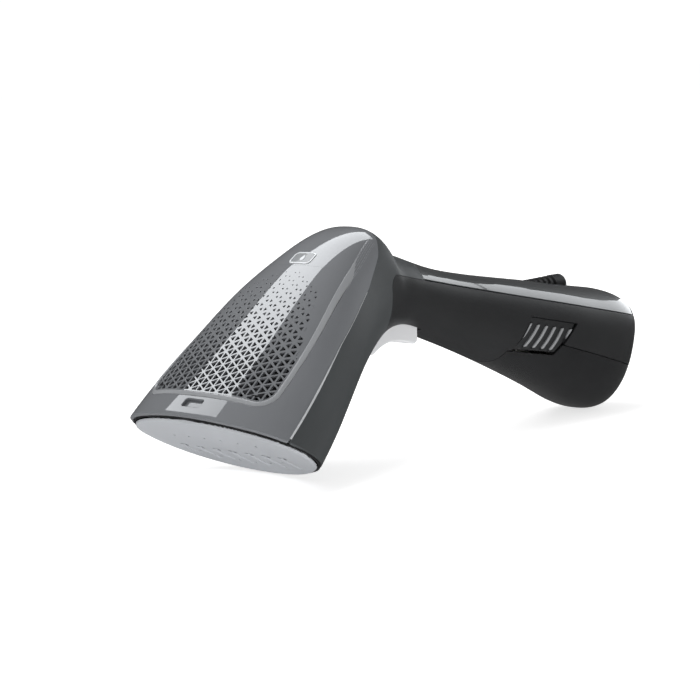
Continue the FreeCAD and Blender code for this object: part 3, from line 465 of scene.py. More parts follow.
def shader(name, colour, roughness, metallic=0.0, ior=1.5, coat=0.0, coat_roughness=0.03,
           coat_ior=1.5, specular=0.5, vary=0.03, grain=0.0, grain_scale=900.0, ripple=0.0,
           transmission=0.0):
    """Moulded plastic, rubber or metal: uneven tone, grain and uneven gloss."""
    material = bpy.data.materials.new(name)
    material.use_nodes = True
    tree = material.node_tree
    nodes, links = tree.nodes, tree.links
    base = nodes["Principled BSDF"]
    base.inputs["Roughness"].default_value = roughness
    base.inputs["Metallic"].default_value = metallic
    base.inputs["IOR"].default_value = ior
    base.inputs["Specular IOR Level"].default_value = specular
    base.inputs["Coat Weight"].default_value = coat
    base.inputs["Coat Roughness"].default_value = coat_roughness
    base.inputs["Coat IOR"].default_value = coat_ior
    base.inputs["Transmission Weight"].default_value = transmission
    place = nodes.new("ShaderNodeTexCoord")
    cloud = nodes.new("ShaderNodeTexNoise")
    cloud.inputs["Scale"].default_value = 35.0
    cloud.inputs["Detail"].default_value = 4.0
    links.new(place.outputs["Object"], cloud.inputs["Vector"])
    tone = nodes.new("ShaderNodeValToRGB")
    tone.color_ramp.elements[0].position = 0.35
    tone.color_ramp.elements[1].position = 0.65
    tone.color_ramp.elements[0].color = [c * (1 - vary) for c in colour] + [1]
    tone.color_ramp.elements[1].color = [min(1, c * (1 + vary)) for c in colour] + [1]
    links.new(cloud.outputs["Fac"], tone.inputs["Fac"])
    links.new(tone.outputs["Color"], base.inputs["Base Color"])
    if grain:
        texture = nodes.new("ShaderNodeTexNoise")
        texture.inputs["Scale"].default_value = grain_scale
        texture.inputs["Detail"].default_value = 3.0
        links.new(place.outputs["Object"], texture.inputs["Vector"])
        bump = nodes.new("ShaderNodeBump")
        bump.inputs["Strength"].default_value = grain
        bump.inputs["Distance"].default_value = 0.0002
        links.new(texture.outputs["Fac"], bump.inputs["Height"])
        links.new(bump.outputs["Normal"], base.inputs["Normal"])
    if ripple:
        uneven = nodes.new("ShaderNodeMapRange")
        uneven.inputs["To Min"].default_value = max(0.0, roughness - ripple)
        uneven.inputs["To Max"].default_value = roughness + ripple
        links.new(cloud.outputs["Fac"], uneven.inputs["Value"])
        links.new(uneven.outputs["Result"], base.inputs["Roughness"])
    return material


cover_grey = shader("cover_grey", (0.197, 0.205, 0.218), 0.5, specular=0.15, coat=1.0,
                    coat_roughness=0.01, vary=0.02, ripple=0.03)
grille_grey = shader("grille_grey", (0.197, 0.205, 0.218), 0.5, specular=0.15, coat=1.0,
                     coat_roughness=0.01, coat_ior=1.85, vary=0.02, ripple=0.03)
moulding_grey = shader("moulding_grey", (0.34, 0.35, 0.365), 0.4, specular=0.3, coat=1.0,
                       coat_roughness=0.03, vary=0.02, ripple=0.03)
# Light grey of the seam rod: a painted highlight that stands in for the shine on the cover's
# rounded edge.
seam_highlight_grey = shader("seam_highlight_grey", (0.62, 0.635, 0.65), 0.35, specular=0.4, coat=1.0,
                     coat_roughness=0.03, vary=0.02, ripple=0.03)
housing_grey = shader("housing_grey", (0.072, 0.078, 0.081), 0.5, specular=0.3, vary=0.03,
                      grain=0.15, grain_scale=1500.0, ripple=0.03)
strip_grey = shader("strip_grey", (0.062, 0.066, 0.069), 0.4, specular=0.2, coat=1.0,
                    coat_roughness=0.012, vary=0.03, ripple=0.03)
grip_charcoal = shader("grip_charcoal", (0.027, 0.0278, 0.0292), 0.5, specular=0.35, vary=0.06,
                       grain=0.35, grain_scale=1600.0, ripple=0.05)
button_grey = shader("button_grey", (0.032, 0.033, 0.0345), 0.42, specular=0.4, vary=0.06,
                     grain=0.3, grain_scale=1400.0)
rib_grey = shader("rib_grey", (0.32, 0.325, 0.335), 0.4, vary=0.05, grain=0.2)
smoked = shader("smoked_tank", (0.019, 0.0195, 0.0205), 0.06, coat=1.0, coat_roughness=0.02,
                vary=0.1, ripple=0.02)
sole_metal = shader("sole_metal", (0.50, 0.515, 0.54), 0.32, metallic=0.12, vary=0.02, grain=0.15,
                    grain_scale=500.0, ripple=0.05)
badge_silver = shader("badge_silver", (0.74, 0.76, 0.78), 0.3, metallic=0.2, vary=0.02,
                      ripple=0.04)
badge_face_grey = shader("badge_face_grey", (0.24, 0.25, 0.26), 0.35, coat=0.6, vary=0.02,
                         ripple=0.03)
white_plastic = shader("trigger_white", (0.84, 0.845, 0.86), 0.38, vary=0.02, grain=0.12,
                       ripple=0.05)
black_rubber = shader("black_rubber", (0.02, 0.02, 0.0215), 0.55, specular=0.3, vary=0.1,
                      grain=0.5, grain_scale=1200.0)
black_mesh = shader("black_mesh", (0.02, 0.02, 0.022), 0.85, specular=0.1, vary=0.3,
                    grain=0.6, grain_scale=1500.0)
dark_plastic = shader("black_plastic", (0.02, 0.02, 0.021), 0.4, vary=0.08, grain=0.2)
cast_metal = shader("cast_metal", (0.50, 0.50, 0.51), 0.5, metallic=0.9, vary=0.1, grain=0.6,
                    grain_scale=700.0, ripple=0.1)
element_steel = shader("element_steel", (0.30, 0.27, 0.24), 0.4, metallic=0.9, vary=0.25,
                       ripple=0.1)
spring_steel = shader("spring_steel", (0.62, 0.62, 0.63), 0.22, metallic=1.0, vary=0.05,
                      ripple=0.06)
screw_steel = shader("screw_steel", (0.55, 0.55, 0.57), 0.3, metallic=1.0, vary=0.06, ripple=0.08)
brass = shader("brass", (0.66, 0.48, 0.20), 0.25, metallic=1.0, vary=0.08, ripple=0.08)
ceramic = shader("white_ceramic", (0.78, 0.77, 0.73), 0.3, vary=0.04, ripple=0.05)
nylon = shader("white_plastic", (0.72, 0.72, 0.70), 0.45, vary=0.03, grain=0.1)
winding = shader("coil_black", (0.05, 0.028, 0.016), 0.4, vary=0.2, grain=0.5, grain_scale=400.0)
silicone = shader("silicone", (0.66, 0.64, 0.58), 0.4, vary=0.04, transmission=0.2, grain=0.1)
board_green = shader("board_green", (0.02, 0.15, 0.06), 0.35, vary=0.2, grain=0.3,
                     grain_scale=300.0)

SLOT_MATERIALS = {
    "cover_grey": cover_grey, "housing_grey": housing_grey, "grip_charcoal": grip_charcoal,
    "button_grey": button_grey, "smoked_tank": smoked, "sole_metal": sole_metal,
    "badge_silver": badge_silver, "trigger_white": white_plastic, "black_rubber": black_rubber,
    "black_mesh": black_mesh, "black_plastic": dark_plastic, "cast_metal": cast_metal,
    "element_steel": element_steel, "spring_steel": spring_steel, "screw_steel": screw_steel,
    "brass": brass, "white_ceramic": ceramic, "white_plastic": nylon, "coil_black": winding,
    "silicone": silicone, "board_green": board_green}

for part in frame["record"]["subparts"]:
    node = frame["nodes"][part["node"]]
    node.data.materials.clear()
    node.data.materials.append(SLOT_MATERIALS[part["material_slot"]])

# ---------------------------------------------------------------- shells

WALL = 2.0
SHELL_FOOT = 2.2
head_grid = body_grid(-0.3, KNOTS[9], 205, 330)
handle_grid = body_grid(KNOTS[5], KNOTS[-1] * 0.9999, 330, 210)

front_zone = zone(FRONT_ZONE)
grip_zone = zone(GRIP_ZONE)
strip_zone = zone(STRIP_ZONE)
tank_zone = zone(TANK_ZONE)
button_zone = zone(BUTTON_WINDOW)


def trigger_slot(points):
    """Distance into the slot that the trigger moves in."""
    side = TRIGGER_HALF_SLOT - np.abs(points[..., 0])
    return np.minimum(side, inside(TRIGGER_SLOT, points[..., 1], points[..., 2]))


def above_sole(points):
    """Distance above the plane where the seal carries the shells."""
    depth = ((points[..., 2] - SOLE_HEIGHT) * math.cos(SOLE_LEAN)
             + points[..., 1] * math.sin(SOLE_LEAN))
    return depth - SHELL_FOOT


RECESS_LENGTH, RECESS_WIDTH, RECESS_FOOT, RECESS_CORNER = 13.0, 4.4, 13.7, 0.8


def rounded_box(points, half_x, foot, top, corner):
    """Signed distance into a round-cornered rectangle on the front."""
    x, up, out = front_frame(points)
    dx = np.abs(x) - (half_x - corner)
    dy = np.abs(up - (foot + top) / 2) - ((top - foot) / 2 - corner)
    outer = np.hypot(np.maximum(dx, 0), np.maximum(dy, 0)) + np.minimum(np.maximum(dx, dy), 0)
    return np.where(out > 20, corner - outer, -20.0)


def recess(points):
    """Signed distance into the accessory recess."""
    return rounded_box(points, RECESS_LENGTH / 2, RECESS_FOOT, RECESS_FOOT + RECESS_WIDTH,
                       RECESS_CORNER)


MOULDING = 2.3
LATTICE_TOP = 103.0


def fade(up, start, end):
    """1 at start falling smoothly to 0 at end."""
    share = np.clip((end - up) / (end - start), 0, 1)
    return share * share * (3 - 2 * share)


def moulding_ground(points):
    """The window with the ground of the moulding, which narrows away towards the crest."""
    up = front_frame(points)[1]
    return window(0)(points) + MOULDING * fade(up, 100.0, 118.0)


def cover_lip(points):
    """Round edge of the cover: wide beside the flanks, hair fine near the crest."""
    return 0.02 + 0.40 * fade(front_frame(points)[1], 84.0, 108.0)


cover = closed_skin("front_shell", head_grid,
                    both(front_zone, without(moulding_ground, recess), above_sole), WALL,
                    lip=cover_lip, gap=0.0)
add(cover, "housing", "cover_grey", cover_grey, "front_cover")


def front_patch(half_width, foot, top, step, sink=0.0):
    """Grid of the front between two heights, pushed in by sink, with outward normals."""
    x, up = np.meshgrid(np.arange(half_width, -half_width - step / 2, -step),
                        np.arange(foot, top, step))
    points = on_front(x, up)
    normals = grid_normals(points)
    return points - normals * sink, normals


tray = closed_skin("front_recess_floor", front_patch(10.0, 10.0, 24.0, 0.35, 1.6),
                   lambda points: recess(points) + 1.4, 0.7, lip=0.05, gap=0.0, steps=1)
add(tray, "housing", "cover_grey", cover_grey)

rear = closed_skin("head_rear_shell", head_grid,
                   both(without(front_zone, grip_zone, strip_zone, trigger_slot), above_sole),
                   WALL, lip=cover_lip, gap=0.0)
add(rear, "housing", "housing_grey", housing_grey, "head_housing")

SIDES = (("right", 1), ("left", -1))
for side_name, sign in SIDES:
    grip = closed_skin(f"grip_shell_{side_name}", handle_grid,
                       both(grip_zone, without(tank_zone, button_zone, trigger_slot),
                            one_side(sign)),
                       WALL, lip=0.3, gap=0.06)
    add(grip, "housing", "grip_charcoal", grip_charcoal, f"handle_grip_{side_name}")

BUTTON_FACE = [(186.0, 61.7), (215.2, 55.7), (201.0, 42.4), (176.0, 46.4)]
RIB_PITCH, RIB_TOP, RIB_RUN, RIB_COUNT = (5.35, -1.06), (184.0, 58.6), (-8.3, -10.8), 6
fine_points, fine_normals = body_grid(KNOTS[11] + 0.9, KNOTS[14], 190, 560)
rib_grid = (fine_points - fine_normals * 0.05, fine_normals)


def ribs(points):
    """Signed distance into the slanted ribs of the release buttons."""
    y, z = points[..., 1], points[..., 2]
    best = np.full(y.shape, -9.0)
    for index in range(RIB_COUNT):
        top_y = RIB_TOP[0] + index * RIB_PITCH[0]
        top_z = RIB_TOP[1] + index * RIB_PITCH[1]
        left, right = (top_y - 0.3, top_z), (top_y + 1.9, top_z + 0.3)
        corners = [left, right, (right[0] + RIB_RUN[0], right[1] + RIB_RUN[1]),
                   (left[0] + RIB_RUN[0], left[1] + RIB_RUN[1])]
        best = np.maximum(best, inside(corners, y, z))
    return np.minimum(best, inside(BUTTON_FACE, y, z))


for side_name, sign in SIDES:
    caps = closed_skin(f"release_ribs_{side_name}", rib_grid, both(ribs, one_side(sign)), 0.8,
                       lip=0.3, gap=0.0, steps=2)
    add(caps, f"release_{side_name}", "button_grey", rib_grey)

GUARD_START = np.array([0.0, 199.0, 73.2])
GUARD_TILT = math.radians(88)
GUARD_WAY = np.array([0.0, math.sin(GUARD_TILT), math.cos(GUARD_TILT)])
CHANNEL_RADIUS = 6.0


def guard_channel(points):
    """Distance into the round channel that the strain relief lies in."""
    offset = points - GUARD_START
    along = offset @ GUARD_WAY
    radius = np.linalg.norm(offset - along[..., None] * GUARD_WAY, axis=-1)
    return np.minimum(CHANNEL_RADIUS - radius, along - 1.0)


back = closed_skin("back_shell", handle_grid, both(strip_zone, without(guard_channel)), WALL,
                   lip=0.3, gap=0.06)
add(back, "housing", "housing_grey", strip_grey, "handle_back_cover")

# ---------------------------------------------------------------- steam plate and seal

PLATE_HALF, PLATE_FRONT, PLATE_REAR = 57.5, 23.0, 31.5
PLATE_OUT = 1.0
RIM_ROUND = 1.3
HOLE_SPACING = 11.9
MAIN_HOLES = 7


def egg_radius(angle, grow):
    """Distance from the middle to the plate's outline (angle from +x towards the rear)."""
    reach = np.where(np.sin(angle) > 0, PLATE_REAR, PLATE_FRONT) + grow
    half = PLATE_HALF + grow
    return half * reach / np.hypot(reach * np.cos(angle), half * np.sin(angle))


def egg_inside(x, y, grow):
    """How far a place of the plate lies inside its outline."""
    return egg_radius(np.arctan2(y, x), grow) - np.hypot(x, y)


# The main row of holes, then the rows behind it and in front of it.
STEAM_HOLES = ([(HOLE_SPACING * i, 8.7 - 0.05 * i * i) for i in range(-3, 4)]
               + [(HOLE_SPACING * (i + 0.5), 19.5 - 0.9 * (i + 0.5) ** 2) for i in range(-3, 3)]
               + [(HOLE_SPACING * (i + 0.5), -5.0 + 0.2 * (i + 0.5) ** 2) for i in range(-3, 3)])


def plate_relief(x, y):
    """Depth of the plate's face: rolled rim and a shallow groove beside each front hole."""
    edge = egg_inside(x, y, PLATE_OUT)
    reach_in = np.clip(RIM_ROUND - edge, 0, RIM_ROUND)
    depth = RIM_ROUND - np.sqrt(np.clip(RIM_ROUND ** 2 - reach_in ** 2, 0, None))
    for hole_x, hole_y in STEAM_HOLES[:MAIN_HOLES]:
        along = np.clip((x - hole_x) * 0.35 + (y - hole_y - 5.5) * 0.94, -5.5, 5.5)
        reach = np.hypot(x - hole_x - along * 0.35, y - hole_y - 5.5 - along * 0.94)
        depth = depth + 0.7 * np.clip(1 - (reach / 1.5) ** 2, 0, 1) ** 2
    return depth


plate_x, plate_y = np.meshgrid(np.arange(-60.0, 60.01, 0.5), np.arange(-27.0, 36.0, 0.5))
plate_points = np.stack([plate_x, plate_y, plate_relief(plate_x, plate_y)], -1)


def plate_field(points):
    """Signed distance into the plate's face between its rim and its steam holes.

    The points are those of the plate's own grid, so its flat places stand in for them.
    """
    field = egg_inside(plate_x, plate_y, PLATE_OUT)
    for index, (hole_x, hole_y) in enumerate(STEAM_HOLES):
        slot, radius = (1.8, 1.15) if index < MAIN_HOLES else (0.0, 0.7)
        across = np.maximum(np.abs(plate_x - hole_x) - slot, 0)
        field = np.minimum(field, np.hypot(across, plate_y - hole_y) - radius)
    return field


plate_grid = (from_sole(plate_points), grid_normals(from_sole(plate_points)))
plate = closed_skin("steam_plate", plate_grid, plate_field, 0.8, lip=0.05, gap=0.0, steps=1)
add(plate, "housing", "sole_metal", sole_metal, "sole_plate")


def lathe_egg(name, section):
    """Closed ring around the plate's outline from a section of (grow, height) places."""
    angles = np.linspace(0, 2 * math.pi, 240, endpoint=False)
    rings = []
    for grow, height in section:
        radius = egg_radius(angles, grow)
        rings.append(from_sole(np.stack([radius * np.cos(angles), radius * np.sin(angles),
                                         np.full_like(angles, height)], -1)))
    faces = []
    count, levels = len(angles), len(section)
    for level in range(levels):
        low, high = level * count, ((level + 1) % levels) * count
        faces += [[low + n, low + (n + 1) % count, high + (n + 1) % count, high + n]
                  for n in range(count)]
    return make_piece(name, np.concatenate(rings), faces)


seal = lathe_egg("plate_seal", [(1.1, 1.7), (1.7, 1.35), (2.1, 1.35), (2.35, 1.55), (2.4, 2.0),
                                (2.3, 2.15), (1.1, 2.15)])
add(seal, "housing", "black_rubber", black_rubber, "sole_gasket")

# ---------------------------------------------------------------- grille

COLUMN, ROW, FIRST_ROW = 9.5, 2.64, 24.2
GRILLE_STEP = 0.42
LAST_ROWS = ((0, 12, 26, 32, 38, 43), (100, 98, 90, 74, 56, 44))


def grille_hole(x, up):
    """Signed distance into the nearest half-diamond hole of the grille."""
    row = (up - FIRST_ROW) / ROW
    best = np.full(x.shape, -9.0)
    size = np.clip(1.0 - (up - 40.0) / 62.0, 0.0, 1.0) * 0.86 + 0.10
    last = np.interp(np.abs(x), *LAST_ROWS)
    bar = 0.45 + 0.9 * (1 - size)
    slope = math.hypot(COLUMN / 2, ROW)
    for shift_row in (0, 1):
        pair_row = np.round((row - shift_row) / 2) * 2 + shift_row
        offset = 0.5 * COLUMN * (1 - shift_row)
        centre = np.round((x - offset) / COLUMN) * COLUMN + offset
        across = np.abs(x - centre)
        along = np.abs(row - pair_row) * ROW
        diamond = (1 - across / (COLUMN / 2) - along / ROW) * (COLUMN / 2) * ROW / slope
        edge = diamond - 0.38 - 1.25 * (1 - size)
        depth = np.minimum(edge, across - bar)
        best = np.maximum(best, np.where(pair_row * ROW + FIRST_ROW < last, depth, -9.0))
    return best


def grille_field(points):
    """Field of the grille: inside the window, between the holes, below the crest."""
    x, up, out = front_frame(points)
    frame_edge = window(-0.05)(points)
    hole = np.minimum(grille_hole(x, up), frame_edge - 1.0)
    return np.minimum.reduce([frame_edge, -hole, LATTICE_TOP - up])


grille_grid = front_patch(43.0, 22.0, LATTICE_TOP + 2.0, GRILLE_STEP, 0.03)


def grille_lip(points):
    """Round edge of the grille, hair fine where it meets the crest."""
    return np.where(front_frame(points)[1] > LATTICE_TOP - 1.0, 0.02, 0.12)


def above_lattice(points):
    """Distance above the top of the lattice."""
    return front_frame(points)[1] - LATTICE_TOP


grille = closed_skin("grille", grille_grid, both(grille_field, front_zone), 1.3,
                     lip=grille_lip, gap=0.0, steps=1)
crest = closed_skin("grille_crest", head_grid,
                    both(front_zone, window(0), above_lattice), 1.3, lip=0.02, gap=0.0, steps=1)
add(grille, "housing", "cover_grey", grille_grey, "grille_panel")
add(crest, "housing", "cover_grey", grille_grey)

# ---------------------------------------------------------------- badge

BADGE_UP, BADGE_HALF_LENGTH, BADGE_HALF_WIDTH, BADGE_CORNER = 108.0, 7.5, 4.0, 2.5


def badge_square(grow):
    """Field of the badge's rounded outline, grown on all sides."""
    return lambda points: rounded_box(points, BADGE_HALF_LENGTH + grow,
                                      BADGE_UP - BADGE_HALF_WIDTH - grow,
                                      BADGE_UP + BADGE_HALF_WIDTH + grow, BADGE_CORNER + grow)


def badge_drop(points):
    """Signed distance into a plain drop in the middle of the badge."""
    x, up, out = front_frame(points)
    rise = up - BADGE_UP
    ball = 1.35 - np.hypot(x, rise + 0.6)
    tip = np.minimum(0.5 * (2.4 - rise) - np.abs(x), rise + 0.6)
    return np.where(out > 20, np.maximum(ball, tip), -20.0)


badge_points, badge_normals = front_patch(9.0, BADGE_UP - 6.0, BADGE_UP + 6.0, 0.25)
badge_grid = (badge_points + badge_normals * 0.3, badge_normals)
badge_frame = closed_skin("badge_frame", badge_grid,
                          both(badge_square(0), without(badge_square(-0.9))), 0.5,
                          lip=0.15, gap=0.0, steps=2)
add(badge_frame, "housing", "badge_silver", badge_silver, "badge")
badge_face = closed_skin("badge_face", (badge_points + badge_normals * 0.1, badge_normals),
                         badge_square(-0.8), 0.25, lip=0.05, gap=0.0, steps=1)
add(badge_face, "housing", "badge_silver", badge_face_grey)
drop = closed_skin("badge_drop", badge_grid, badge_drop, 0.3, lip=0.12, gap=0.0, steps=2)
add(drop, "housing", "badge_silver", badge_silver)

# ---------------------------------------------------------------- bead around the grille

# Section of the bead: how far out from the window's edge, and how high.
BEAD = [(MOULDING + 0.05, -0.9), (MOULDING + 0.05, -0.12), (MOULDING - 0.2, 0.02),
        (1.75, 0.16), (1.25, 0.42), (0.75, 0.55), (0.25, 0.46), (-0.1, 0.12),
        (-0.3, -0.35), (-0.35, -2.2)]


def close_ends(faces):
    """The faces, with one more on each open end of the strip that they make."""
    edges = {edge for face in faces for edge in zip(face, face[1:] + face[:1])}
    follow = {a: b for a, b in edges if (b, a) not in edges}
    closed = list(faces)
    while follow:
        start = min(follow)
        loop, after = [start], follow.pop(start)
        while after != start:
            loop.append(after)
            after = follow.pop(after)
        closed.append(loop[::-1])
    return closed


def bead_strip(name):
    """Rounded bead on the cover's edge around the grille, fading out towards the crest."""
    path = np.array(window_outline(0.0))
    dense = []
    for first, last in zip(path, np.roll(path, -1, axis=0)):
        count = max(int(np.linalg.norm(last - first) / 0.9), 1)
        dense += [first + (last - first) * n / count for n in range(count)]
    dense = np.array(dense)
    ahead = np.roll(dense, -1, axis=0) - np.roll(dense, 1, axis=0)
    ahead /= np.linalg.norm(ahead, axis=1, keepdims=True)
    outward = np.stack([ahead[:, 1], -ahead[:, 0]], 1)
    rings = []
    for away, rise in BEAD:
        x = dense[:, 0] + outward[:, 0] * away
        up = dense[:, 1] + outward[:, 1] * away
        base = on_front(x, up)
        east = on_front(x + 0.3, up) - base
        north = on_front(x, up + 0.3) - base
        normal = np.cross(east, north)
        normal /= np.linalg.norm(normal, axis=1, keepdims=True)
        height = rise * fade(up, 30.0, 66.0) if rise > 0 else np.full_like(up, rise)
        rings.append(base + normal * height[:, None])
    vertices = np.concatenate(rings)
    count, levels = len(dense), len(rings)
    zone_ok = front_zone(vertices.reshape(levels, count, 3)).min(0) > 0.3
    faces = []
    for level in range(levels):
        low, high = level * count, ((level + 1) % levels) * count
        for n in range(count):
            after = (n + 1) % count
            if zone_ok[n] and zone_ok[after]:
                faces.append([low + n, low + after, high + after, high + n])
    used = sorted({v for face in faces for v in face})
    order = {v: n for n, v in enumerate(used)}
    faces = close_ends([[order[v] for v in face] for face in faces])
    return make_piece(name, vertices[used], faces)


add(bead_strip("grille_bead"), "housing", "cover_grey", moulding_grey)

# ---------------------------------------------------------------- painted highlight along the cover seam

# Thickness of the painted highlight rod: fine near the crest, swelling low down.
HIGHLIGHT_FINE, HIGHLIGHT_SWELL = 0.12, 0.36


def seam_turn(u):
    """Angles of the seam between the front cover and the rear shell, on the +x side."""
    low, high = np.full_like(u, 0.3), np.full_like(u, math.pi - 0.02)
    for _ in range(HALVINGS):
        half = (low + high) / 2
        ahead = front_zone(around(u, half)) > 0
        high, low = np.where(ahead, half, high), np.where(ahead, low, half)
    return low


def seam_highlight_rod(name, sign):
    """Fine round light rod along the lower cover seam, a painted highlight of the seam's edge,
    thinning out on the way up.
    """
    u = np.linspace(0.02, KNOTS[4], 120)
    turn = seam_turn(u)
    centre = around(u, turn)
    step = 0.003
    along = around(u + step, turn) - around(u - step, turn)
    normal = np.cross(along, around(u, turn + step) - around(u, turn - step))
    normal /= np.linalg.norm(normal, axis=1, keepdims=True)
    ahead = np.gradient(centre, axis=0)
    ahead /= np.linalg.norm(ahead, axis=1, keepdims=True)
    across = np.cross(ahead, normal)
    radius = HIGHLIGHT_FINE + HIGHLIGHT_SWELL * fade(front_frame(centre)[1], 40.0, 78.0)
    angles = np.linspace(0, 2 * math.pi, 12, endpoint=False)
    rings = [centre + radius[:, None] * (math.cos(a) * across + math.sin(a) * normal)
             for a in angles]
    points = np.stack(rings, 1) * (sign, 1, 1)
    count, sides = len(u), len(angles)
    faces = [[row * sides + n, row * sides + (n + 1) % sides,
              (row + 1) * sides + (n + 1) % sides, (row + 1) * sides + n]
             for row in range(count - 1) for n in range(sides)]
    faces += [list(range(sides))[::-1], [(count - 1) * sides + n for n in range(sides)]]
    if sign < 0:
        faces = [face[::-1] for face in faces]
    return make_piece(name, points.reshape(-1, 3), faces)


# The painted highlight rods on both seams.
for side_name, sign in SIDES:
    add(seam_highlight_rod(f"seam_painted_highlight_{side_name}", sign), "housing", "cover_grey", seam_highlight_grey)

# ---------------------------------------------------------------- camera, lights and floor

EYE = np.array((775.86, -616.61, 171.47))
CAMERA_AZIMUTH, CAMERA_RISE, CAMERA_ROLL = 47.99, 6.41, -2.01
LENS = 112.2


def camera_frame():
    """The camera's turn: it looks back along its own +Z."""
    azimuth, rise, roll = map(math.radians, (CAMERA_AZIMUTH, CAMERA_RISE, CAMERA_ROLL))
    behind = Vector((math.sin(azimuth) * math.cos(rise), -math.cos(azimuth) * math.cos(rise),
                     math.sin(rise)))
    right = Vector((math.cos(azimuth), math.sin(azimuth), 0))
    top = behind.cross(right)
    right, top = (right * math.cos(roll) + top * math.sin(roll),
                  top * math.cos(roll) - right * math.sin(roll))
    columns = [turn_to_row(np.array(way)) for way in (right, top, behind)]
    return Matrix([[column[row] for column in columns] for row in range(3)]).to_4x4()


camera_data = bpy.data.cameras.new("camera")
camera_data.lens = LENS
camera_data.sensor_width = 36.0
camera_data.clip_end = 50.0
camera = bpy.data.objects.new("camera", camera_data)
camera.matrix_world = Matrix.Translation(to_row(EYE)) @ camera_frame()
bpy.context.scene.collection.objects.link(camera)
bpy.context.scene.camera = camera


def turn_at(u, x):
    """Angle of the place at x across, on the front side of the form at u."""
    values = station(u)
    share = np.clip(np.abs(x) / values[4], 0, 1) ** (values[6] / 2)
    return math.pi - math.copysign(math.asin(share), x)


def turn_at_parting(u):
    """Angle of the seam between grip and back strip, on the +x side at u."""
    low, high = math.pi / 2, math.pi
    for _ in range(HALVINGS):
        half = (low + high) / 2
        point = around(np.array(u), np.array(half))
        above = point[2] > strip_height(point[1])
        low, high = (low, half) if above else (half, high)
    return low


def mirror_way(u, turn):
    """A place of the form and where the eye's ray goes after its mirror image there."""
    step = 0.004
    near = around(np.array([u - step, u + step, u, u, u]),
                  np.array([turn, turn, turn - step, turn + step, turn]))
    normal = np.cross(near[1] - near[0], near[3] - near[2])
    normal /= np.linalg.norm(normal)
    ray = near[4] - EYE
    ray /= np.linalg.norm(ray)
    return near[4], ray - 2 * (ray @ normal) * normal


BOX_REACH = 300.0


def strip_light(name, edges, strength, across=13, between=3):
    """Long soft box whose mirror image in the form fills the band between two edges.

    Each row of edges gives the place u and the two angles between which the band lies.
    """
    table = np.array(edges)
    places = np.arange(0, len(table) - 1 + 1e-6, 1 / between)
    rows = []
    for u, start, end in zip(*(np.interp(places, np.arange(len(table)), table[:, column])
                               for column in range(3))):
        for share in np.linspace(0, 1, across):
            point, way = mirror_way(u, start * (1 - share) + end * share)
            rows.append(point + way * BOX_REACH)
    faces = [[row * across + n, row * across + n + 1, (row + 1) * across + n + 1,
              (row + 1) * across + n]
             for row in range(len(places) - 1) for n in range(across - 1)]
    mesh = bpy.data.meshes.new(name)
    mesh.from_pydata(to_row(rows).tolist(), [], faces)
    box = bpy.data.objects.new(name, mesh)
    bpy.context.scene.collection.objects.link(box)
    glow = bpy.data.materials.new(name)
    glow.use_nodes = True
    glow.node_tree.nodes.clear()
    emission = glow.node_tree.nodes.new("ShaderNodeEmission")
    emission.inputs["Color"].default_value = (0.95, 0.975, 1.0, 1)
    emission.inputs["Strength"].default_value = strength
    output = glow.node_tree.nodes.new("ShaderNodeOutputMaterial")
    glow.node_tree.links.new(emission.outputs[0], output.inputs[0])
    mesh.materials.append(glow)
    box.visible_camera = False
    box.visible_diffuse = False
    box.visible_shadow = False


def place_of(y, x):
    """Place u along the body whose front side passes y at x across."""
    u = np.linspace(0, KNOTS[-1] * 0.99, 3000)
    return float(u[np.argmin(np.abs(over_front(u, np.full_like(u, x))[:, 1] - y))])


# Edges of the band on the head: y along the object, x of the left and the right edge.
HEAD_BAND = [(-19.5, -15.0, 21.5), (49.0, -4.3, 17.8), (81.0, 15.0, 20.0)]
BAND_ROWS = 60
head_edges = []
band_y, band_left, band_right = np.array(HEAD_BAND).T
for y in np.linspace(band_y[0], band_y[-1], BAND_ROWS):
    left, right = np.interp(y, band_y, band_left), np.interp(y, band_y, band_right)
    u = place_of(y, (left + right) / 2)
    head_edges.append((u, turn_at(u, left), turn_at(u, right)))

# Upper edge of the band on the handle: y along the object and x; the lower is the seam.
HANDLE_BAND = [(114.5, 20.0), (120.0, 17.0), (135.0, 15.0), (165.0, 14.5), (195.0, 16.0),
               (230.0, 18.7), (245.0, 19.0), (258.0, 17.5), (268.0, 12.0)]
handle_edges = []
band_y, band_x = np.array(HANDLE_BAND).T
for y in np.linspace(band_y[0], band_y[-1], BAND_ROWS):
    x = np.interp(y, band_y, band_x)
    u = place_of(y, x)
    handle_edges.append((u, turn_at(u, x), turn_at_parting(u) - 0.03))

strip_light("head_softbox", head_edges, 3.5)
strip_light("handle_softbox", handle_edges, 3.3)


def area_light(name, place, aim, size, energy):
    """Soft rectangular lamp that neither shows nor mirrors."""
    data = bpy.data.lights.new(name, "AREA")
    data.shape = "RECTANGLE"
    data.size, data.size_y = size
    data.energy = energy
    lamp = bpy.data.objects.new(name, data)
    lamp.location = place
    lamp.rotation_euler = (Vector(aim) - Vector(place)).to_track_quat("-Z", "Y").to_euler()
    lamp.visible_camera = False
    lamp.visible_glossy = False
    bpy.context.scene.collection.objects.link(lamp)


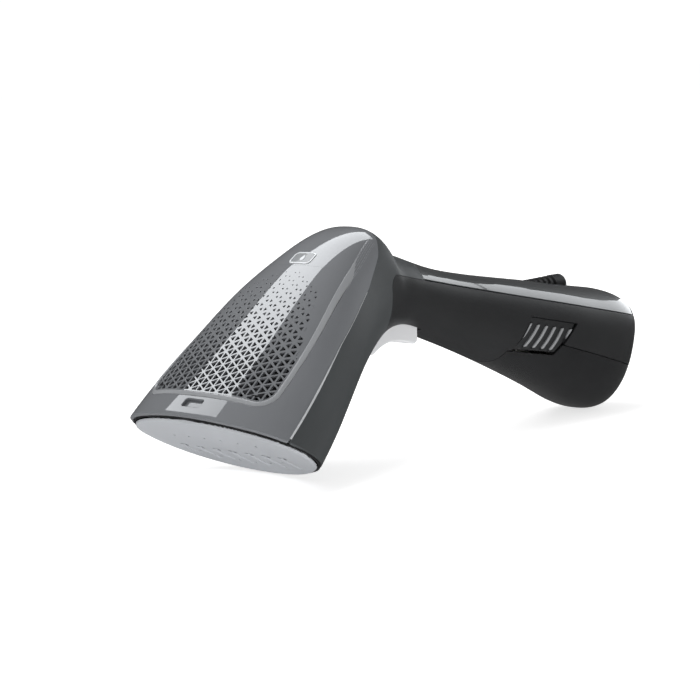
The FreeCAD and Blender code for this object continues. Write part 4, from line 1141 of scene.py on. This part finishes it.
area_light("overhead", (-0.9, -0.5, 2.2), (0, 0, 0), (2.2, 2.2), 42)

world = bpy.data.worlds.new("studio")
bpy.context.scene.world = world
world.use_nodes = True
nodes, links = world.node_tree.nodes, world.node_tree.links
backdrop = nodes["Background"]
backdrop.inputs["Color"].default_value = (1, 1, 1, 1)
backdrop.inputs["Strength"].default_value = 1.05
room = nodes.new("ShaderNodeBackground")
room.inputs["Strength"].default_value = 0.46
dim = nodes.new("ShaderNodeBackground")
dim.inputs["Strength"].default_value = 0.10
rays = nodes.new("ShaderNodeLightPath")
mirrored = nodes.new("ShaderNodeMixShader")
seen = nodes.new("ShaderNodeMixShader")
links.new(rays.outputs["Is Glossy Ray"], mirrored.inputs[0])
links.new(room.outputs[0], mirrored.inputs[1])
links.new(dim.outputs[0], mirrored.inputs[2])
links.new(rays.outputs["Is Camera Ray"], seen.inputs[0])
links.new(mirrored.outputs[0], seen.inputs[1])
links.new(backdrop.outputs[0], seen.inputs[2])
links.new(seen.outputs[0], nodes["World Output"].inputs["Surface"])

FLOOR_REACH, FLOOR_DROP = 40.0, 0.0005
floor_mesh = bpy.data.meshes.new("floor")
floor_mesh.from_pydata([(x * FLOOR_REACH, y * FLOOR_REACH, -FLOOR_DROP)
                        for x, y in ((-1, -1), (1, -1), (1, 1), (-1, 1))],
                       [], [(0, 1, 2, 3)])
floor = bpy.data.objects.new("floor", floor_mesh)
bpy.context.scene.collection.objects.link(floor)
floor_white = bpy.data.materials.new("floor_white")
floor_white.use_nodes = True
floor_base = floor_white.node_tree.nodes["Principled BSDF"]
floor_base.inputs["Base Color"].default_value = (0.9, 0.9, 0.9, 1)
floor_base.inputs["Roughness"].default_value = 0.9
floor_base.inputs["Specular IOR Level"].default_value = 0.1
floor_base.inputs["Emission Color"].default_value = (1, 1, 1, 1)
floor_base.inputs["Emission Strength"].default_value = 0.7
floor_mesh.materials.append(floor_white)
floor.visible_glossy = False

bpy.context.scene.view_settings.view_transform = "Standard"
